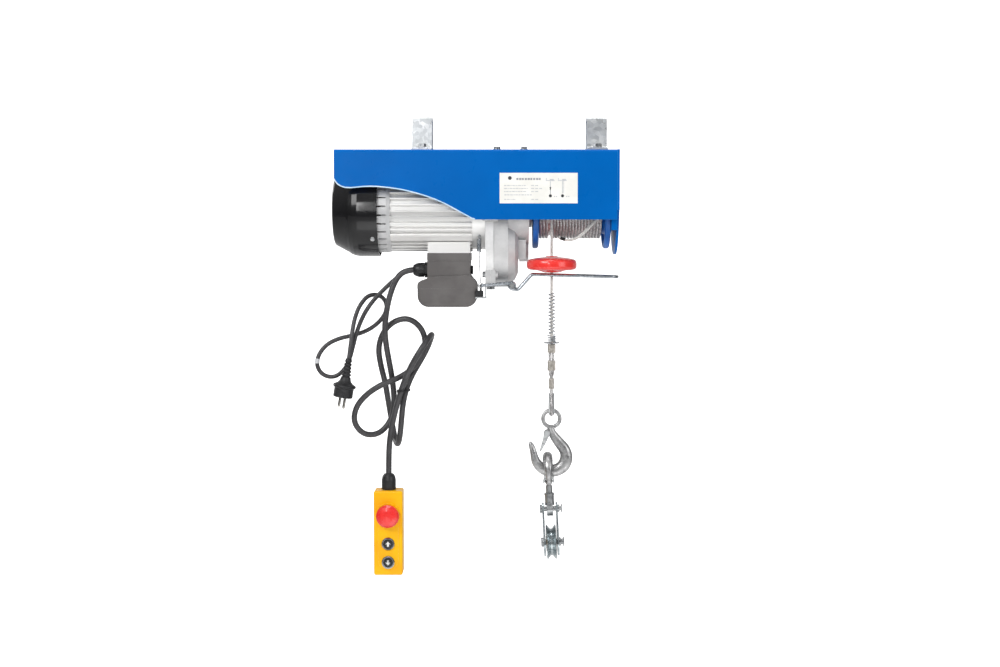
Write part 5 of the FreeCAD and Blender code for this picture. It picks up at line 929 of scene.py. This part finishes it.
for y in (y1, y2):
    # the wire's own eye round the pivot: one and a bit turns side by side
    hp = []
    for k in range(0, 55):
        a = 2 * math.pi * k / 40.0 - 1.9
        hp.append((px_ + 5.0 * math.cos(a), y - 0.9 + 1.9 * k / 54.0, pz_ + 5.0 * math.sin(a)))
    lm.add(*sweep(hp, circle(2.5, 20)))
lever = lm.done("bent_wire_lever", "lever_zinc", "limit_lever", smooth=60, slot="lever_zinc")
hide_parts("limit_lever")

sx, sy = -52.0, -52.0
sm = [(sx + 1.6, sy + 1.2, -199.4), (sx + 2.0, sy + 1.1, -197.6), (sx + 0.6, sy + 1.0, -196.4), (sx - 0.8, sy + 0.8, -197.2), (sx - 0.4, sy + 0.4, -200.2), (sx, sy, -202.4)]
hel = helix(3.4, -203.9, -225.0, 12.05, sx, sy, 30)
low_end = hel[-1]
tailp = [(sx + 0.6, sy, -226.4), (sx + 0.3, sy, -229.5), (-50.9, sy, -252.0), (-49.8, sy, -274.0), (-49.4, sy, -278.2)]
eyep = [(-49.0 + 4.0 * math.sin(a), sy, -282.5 + 4.0 * math.cos(a)) for a in np.linspace(-0.1, 2 * math.pi - 0.35, 26)]
spring_line = np.concatenate([arcs(sm, factor=0.4, step=0.4), hel, arcs(tailp, factor=0.4, step=1.0), np.array(eyep)])
v, f = sweep(spring_line, circle(0.65, 12))
ret = make("return_spring_wire", v, f, "lever_zinc", None, smooth=60, slot="lever_zinc", ride=False)
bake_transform(ret)
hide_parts("lever_spring")

bm_ = Mesh()
def coil(radius, p, t, z):
    pts_ = []
    total = int(t * 40)
    for k in range(total + 1):
        a = 2 * math.pi * k / 40.0
        pts_.append((RX + radius * math.cos(a), RY + radius * math.sin(a), z + p * k / 40.0))
    return pts_


bm_.add(*sweep(coil(5.2, 5.95, 11.9, -367.0), circle(0.8, 14)))
bm_.add(*sweep(coil(6.9, 3.1, 3.5, -379.2), circle(0.8, 14)))
buf = bm_.done("buffer_spring_wire", "lever_zinc", "hook_line", smooth=60, slot="lever_zinc")
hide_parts("buffer_spring")

# ---------------------------------------------------------------------------
# cable tie round the pendant cable's folded strands
# ---------------------------------------------------------------------------
def crossings(line, z, x0, x1):
    out_ = []
    for a, b in zip(line[:-1], line[1:]):
        if (a[2] - z) * (b[2] - z) <= 0 and a[2] != b[2]:
            k_ = (z - a[2]) / (b[2] - a[2])
            q = a + (b - a) * k_
            if x0 < q[0] < x1:
                out_.append((q, (b - a) / np.linalg.norm(b - a)))
    return out_


tie_z = -465.0
cloud = []
for dz in (-2.2, 0.0, 2.2):
    for q, t in crossings(pend_line, tie_z + dz, -199.0, -166.0):
        hx, hy = t[0], t[1]
        h = math.hypot(hx, hy)
        ux, uy = (hx / h, hy / h) if h > 1e-6 else (1.0, 0.0)
        for a in np.linspace(0, 2 * math.pi, 33)[:-1]:
            la, lb = 5.3 * math.cos(a) / max(abs(t[2]), 0.4), 5.3 * math.sin(a)
            cloud.append((q[0] + ux * la - uy * lb, q[1] + uy * la + ux * lb))
if cloud:
    C = np.array(cloud)
    cen = (C.max(axis=0) + C.min(axis=0)) / 2
    ang = np.linspace(0, 2 * math.pi, 73)[:-1]
    sup = np.array([((C - cen) @ np.array([math.cos(a), math.sin(a)])).max() for a in ang])
    ring = []
    for k, a in enumerate(ang):
        d_ = np.array([math.cos(a), math.sin(a)])
        best = 1e9
        for j, b in enumerate(ang):
            c_ = math.cos(a - b)
            if c_ > 0.05:
                best = min(best, sup[j] / c_)
        ring.append(best)
    vt, ft = [], []
    for rr, zz in ((0.0, -2.0), (1.1, -2.0), (1.3, -1.7), (1.3, 1.7), (1.1, 2.0), (0.0, 2.0)):
        for k, a in enumerate(ang):
            vt.append((cen[0] + (ring[k] + rr) * math.cos(a), cen[1] + (ring[k] + rr) * math.sin(a), tie_z + zz))
    n_ = len(ang)
    for l in range(6):
        for k in range(n_):
            ft.append((l * n_ + k, l * n_ + (k + 1) % n_, ((l + 1) % 6) * n_ + (k + 1) % n_, ((l + 1) % 6) * n_ + k))
    tm_ = Mesh()
    tm_.add(vt, ft)
    k0 = int(np.argmin([abs(((a + math.pi / 2 + 0.5 + math.pi) % (2 * math.pi)) - math.pi) for a in ang]))
    hx_, hy_ = cen[0] + (ring[k0] + 2.4) * math.cos(ang[k0]), cen[1] + (ring[k0] + 2.4) * math.sin(ang[k0])
    tm_.add(*block((hx_ - 2.6, hy_ - 1.9, tie_z - 3.0), (hx_ + 2.6, hy_ + 1.9, tie_z + 3.0), 0.5, 2))
    tie = tm_.done("cable_tie", "tie_black", "root", smooth=40)

# red stop disc: moulded, with a full rounded rim and a small collar
disc_prof = rounded([(4.5, 0), (10.2, 0), (13.5, 0.6), (20.5, 2.9), (27.0, 4.2), (35.5, 4.6), (40.3, 6.0), (42.65, 9.6), (42.65, 17.0), (41.2, 21.2), (37.2, 23.2), (28.0, 25.2), (16.0, 26.6),
                     (11.6, 27.0), (9.6, 28.3), (4.5, 28.3)], 1.6, 4)
v, f = turned(disc_prof, (RX, RY, -260.9), (0, 0, 1), 96)
red = make("stop_disc_moulding", v, f, "red_plastic", "limit_disc", smooth=50, slot="red_plastic")
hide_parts("limit_disc")

# raised joint face round the gearbox, where flange and casing meet
def lobes(r1, r2, n_=40):
    z1_, z2_ = AZ, AZ - 63.75
    out_ = [(r1 * math.cos(a), z1_ + r1 * math.sin(a)) for a in np.linspace(0, math.pi, n_)]
    out_ += [(r2 * math.cos(a), z2_ + r2 * math.sin(a)) for a in np.linspace(math.pi, 2 * math.pi, n_)]
    return out_


oa, ob_ = lobes(63.4, 64.9), lobes(61.7, 63.2)
vt, ft = [], []
for ring_i, xx in ((ob_, -41.3), (oa, -41.3), (oa, -27.4), (ob_, -27.4)):
    vt += [(xx, y, z) for y, z in ring_i]
n_ = len(oa)
for l in range(4):
    for k in range(n_):
        ft.append((l * n_ + k, l * n_ + (k + 1) % n_, ((l + 1) % 4) * n_ + (k + 1) % n_, ((l + 1) % 4) * n_ + k))
make("gearbox_joint_rim", vt, ft, "cast_bright", "root", smooth=40)

# blanking plug in the contact box's right wall
v, f = turned(rounded([(0, 4.7), (7.5, 4.7), (7.5, 0.0), (0, 0.0)][::-1], 0.9), (-67.2, -20.0, -256.4), (1, 0, 0), 40)
plug_ = make("box_blanking_plug", v, f, "black_plastic", "root", smooth=35)

# pale strip along the lower curve of the frame's front plate: a painted highlight where the plate's cut edge catches
# the light
edge_pts = [(-294.9, -103.2), (-292.8, -107.2), (-288.8, -112.0), (-283.5, -115.6), (-276.0, -118.0), (-268.0, -118.4), (-258.0, -117.6), (-246.0, -116.4),
            (-234.0, -116.0), (-222.6, -116.4), (-203.4, -118.0), (-184.1, -120.9), (-164.8, -125.1), (-145.4, -130.7), (-126.0, -137.4), (-106.7, -146.0),
            (-87.3, -156.7), (-71.9, -165.0), (-64.5, -169.2), (-58.5, -171.0)]
line_ = [(x, -83.85, z + 0.6) for x, z in edge_pts]
v, f = sweep(line_, circle(1.1, 14))
make("frame_edge_highlight", v, f, "blue_edge", "root", smooth=60)


# ---------------------------------------------------------------------------
# data plate on the frame's front flank: bars and plain figures, no words
# ---------------------------------------------------------------------------
FY = -84.0
v, f = block((-17.0, FY - 0.35, -144.0), (114.0, FY + 0.05, -93.0), 0.12, 1)
plate = make("data_plate", v, f, "label_white", "root", smooth=35)
ink = Mesh()
grey = []
def bar(x0, z0, x1, z1):
    ink.add(*block((x0, FY - 0.47, z0), (x1, FY - 0.33, z1), 0, 1))


# header: a disc and a bar; below it rows of short dashes
v, f = turned([(0, 0), (3.1, 0), (3.1, 0.13), (0, 0.13)], (0.2, FY - 0.34, -101.7), (0, -1, 0), 40)
ink.add(v, f)
for k in range(9):
    grey.append((11.2 + 4.7 * k, -105.0, 11.2 + 4.7 * k + (3.4, 3.8, 3.0)[k % 3], -101.6))
pale = []
for j, (z, x1, two) in enumerate(((-113.6, 27.0, 1), (-118.6, 30.0, 1), (-123.6, 28.0, 1), (-129.2, 38.0, 0), (-136.8, 10.0, 1))):
    x = -9.2
    k = j
    while x < x1:
        w_ = (3.2, 5.0, 2.2, 4.1)[k % 4]
        pale.append((x, z - 1.3, min(x + w_, x1), z))
        x += w_ + 1.1
        k += 1
    if two:
        for m_ in range(2 + j % 2):
            pale.append((36.0 + 6.6 * m_, z - 1.3, 36.0 + 6.6 * m_ + 5.0, z))
# two lifting figures: an arm above, a fall, a load below
for x0, two in ((68.2, False), (88.6, True)):
    pale.append((x0 - 7.5, -106.6, x0 + 7.0, -105.4))
    pale.append((x0 - 7.5, -105.4, x0 - 6.3, -101.6))
    pale.append((x0 - 1.0, -105.4, x0 + 5.8, -103.4))
    pale.append((x0 - 0.6, -116.5 if not two else -127.5, x0 + 0.6, -106.6))
    if not two:
        grey.append((x0 - 0.5, -128.6, x0 + 0.5, -121.5))
        v, f = turned([(0, 0), (1.3, 0), (1.3, 0.13), (0, 0.13)], (x0, FY - 0.34, -117.6), (0, -1, 0), 24)
        ink.add(v, f)
        bar(x0 - 0.9, -121.6, x0 + 0.9, -117.6)
    else:
        pale.append((x0 + 1.6, -127.5, x0 + 2.4, -106.6))
    v, f = turned([(0, 0), (2.6, 0), (2.6, 0.13), (0, 0.13)], (x0, FY - 0.34, -131.4), (0, -1, 0), 32)
    ink.add(v, f)
    for m_ in range(2):
        pale.append((x0 + 6.0 + 3.4 * m_, -133.2, x0 + 8.0 + 3.4 * m_, -131.6))
ink.done("data_plate_print", "label_ink", "root", smooth=35)
for name_, boxes, mat_ in (("data_plate_lines", grey, "label_grey"), ("data_plate_dashes", pale, "print_pale")):
    gm = Mesh()
    for x0, z0, x1, z1 in boxes:
        gm.add(*block((x0, FY - 0.47, z0), (x1, FY - 0.33, z1), 0, 1))
    gm.done(name_, mat_, "root", smooth=35)

# ---------------------------------------------------------------------------
# arrows on the push buttons
# ---------------------------------------------------------------------------
def arrow(z, sgn, body, name):
    out = [(0.0, 4.6), (4.4, -0.2), (1.7, -0.2), (1.7, -4.4), (-1.7, -4.4), (-1.7, -0.2), (-4.4, -0.2)]
    out = [(x, sgn * y) for x, y in out]
    if sgn < 0:
        out = out[::-1]
    verts = [(-209.7 + x, -47.22, z + y) for x, y in out] + [(-209.7 + x, -46.9, z + y) for x, y in out]
    n_ = len(out)
    faces = []
    tri = [(0, 1, 6), (1, 2, 5), (1, 5, 6), (2, 3, 4), (2, 4, 5)]
    faces += tri
    faces += [tuple(n_ + i for i in t[::-1]) for t in tri]
    for k in range(n_):
        faces.append((k, (k + 1) % n_, n_ + (k + 1) % n_, n_ + k))
    return make(name, verts, faces, "arrow_white", body, smooth=30)


arrow(-729.2, 1, "up_button", "up_arrow")
arrow(-761.6, -1, "down_button", "down_arrow")

a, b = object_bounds()
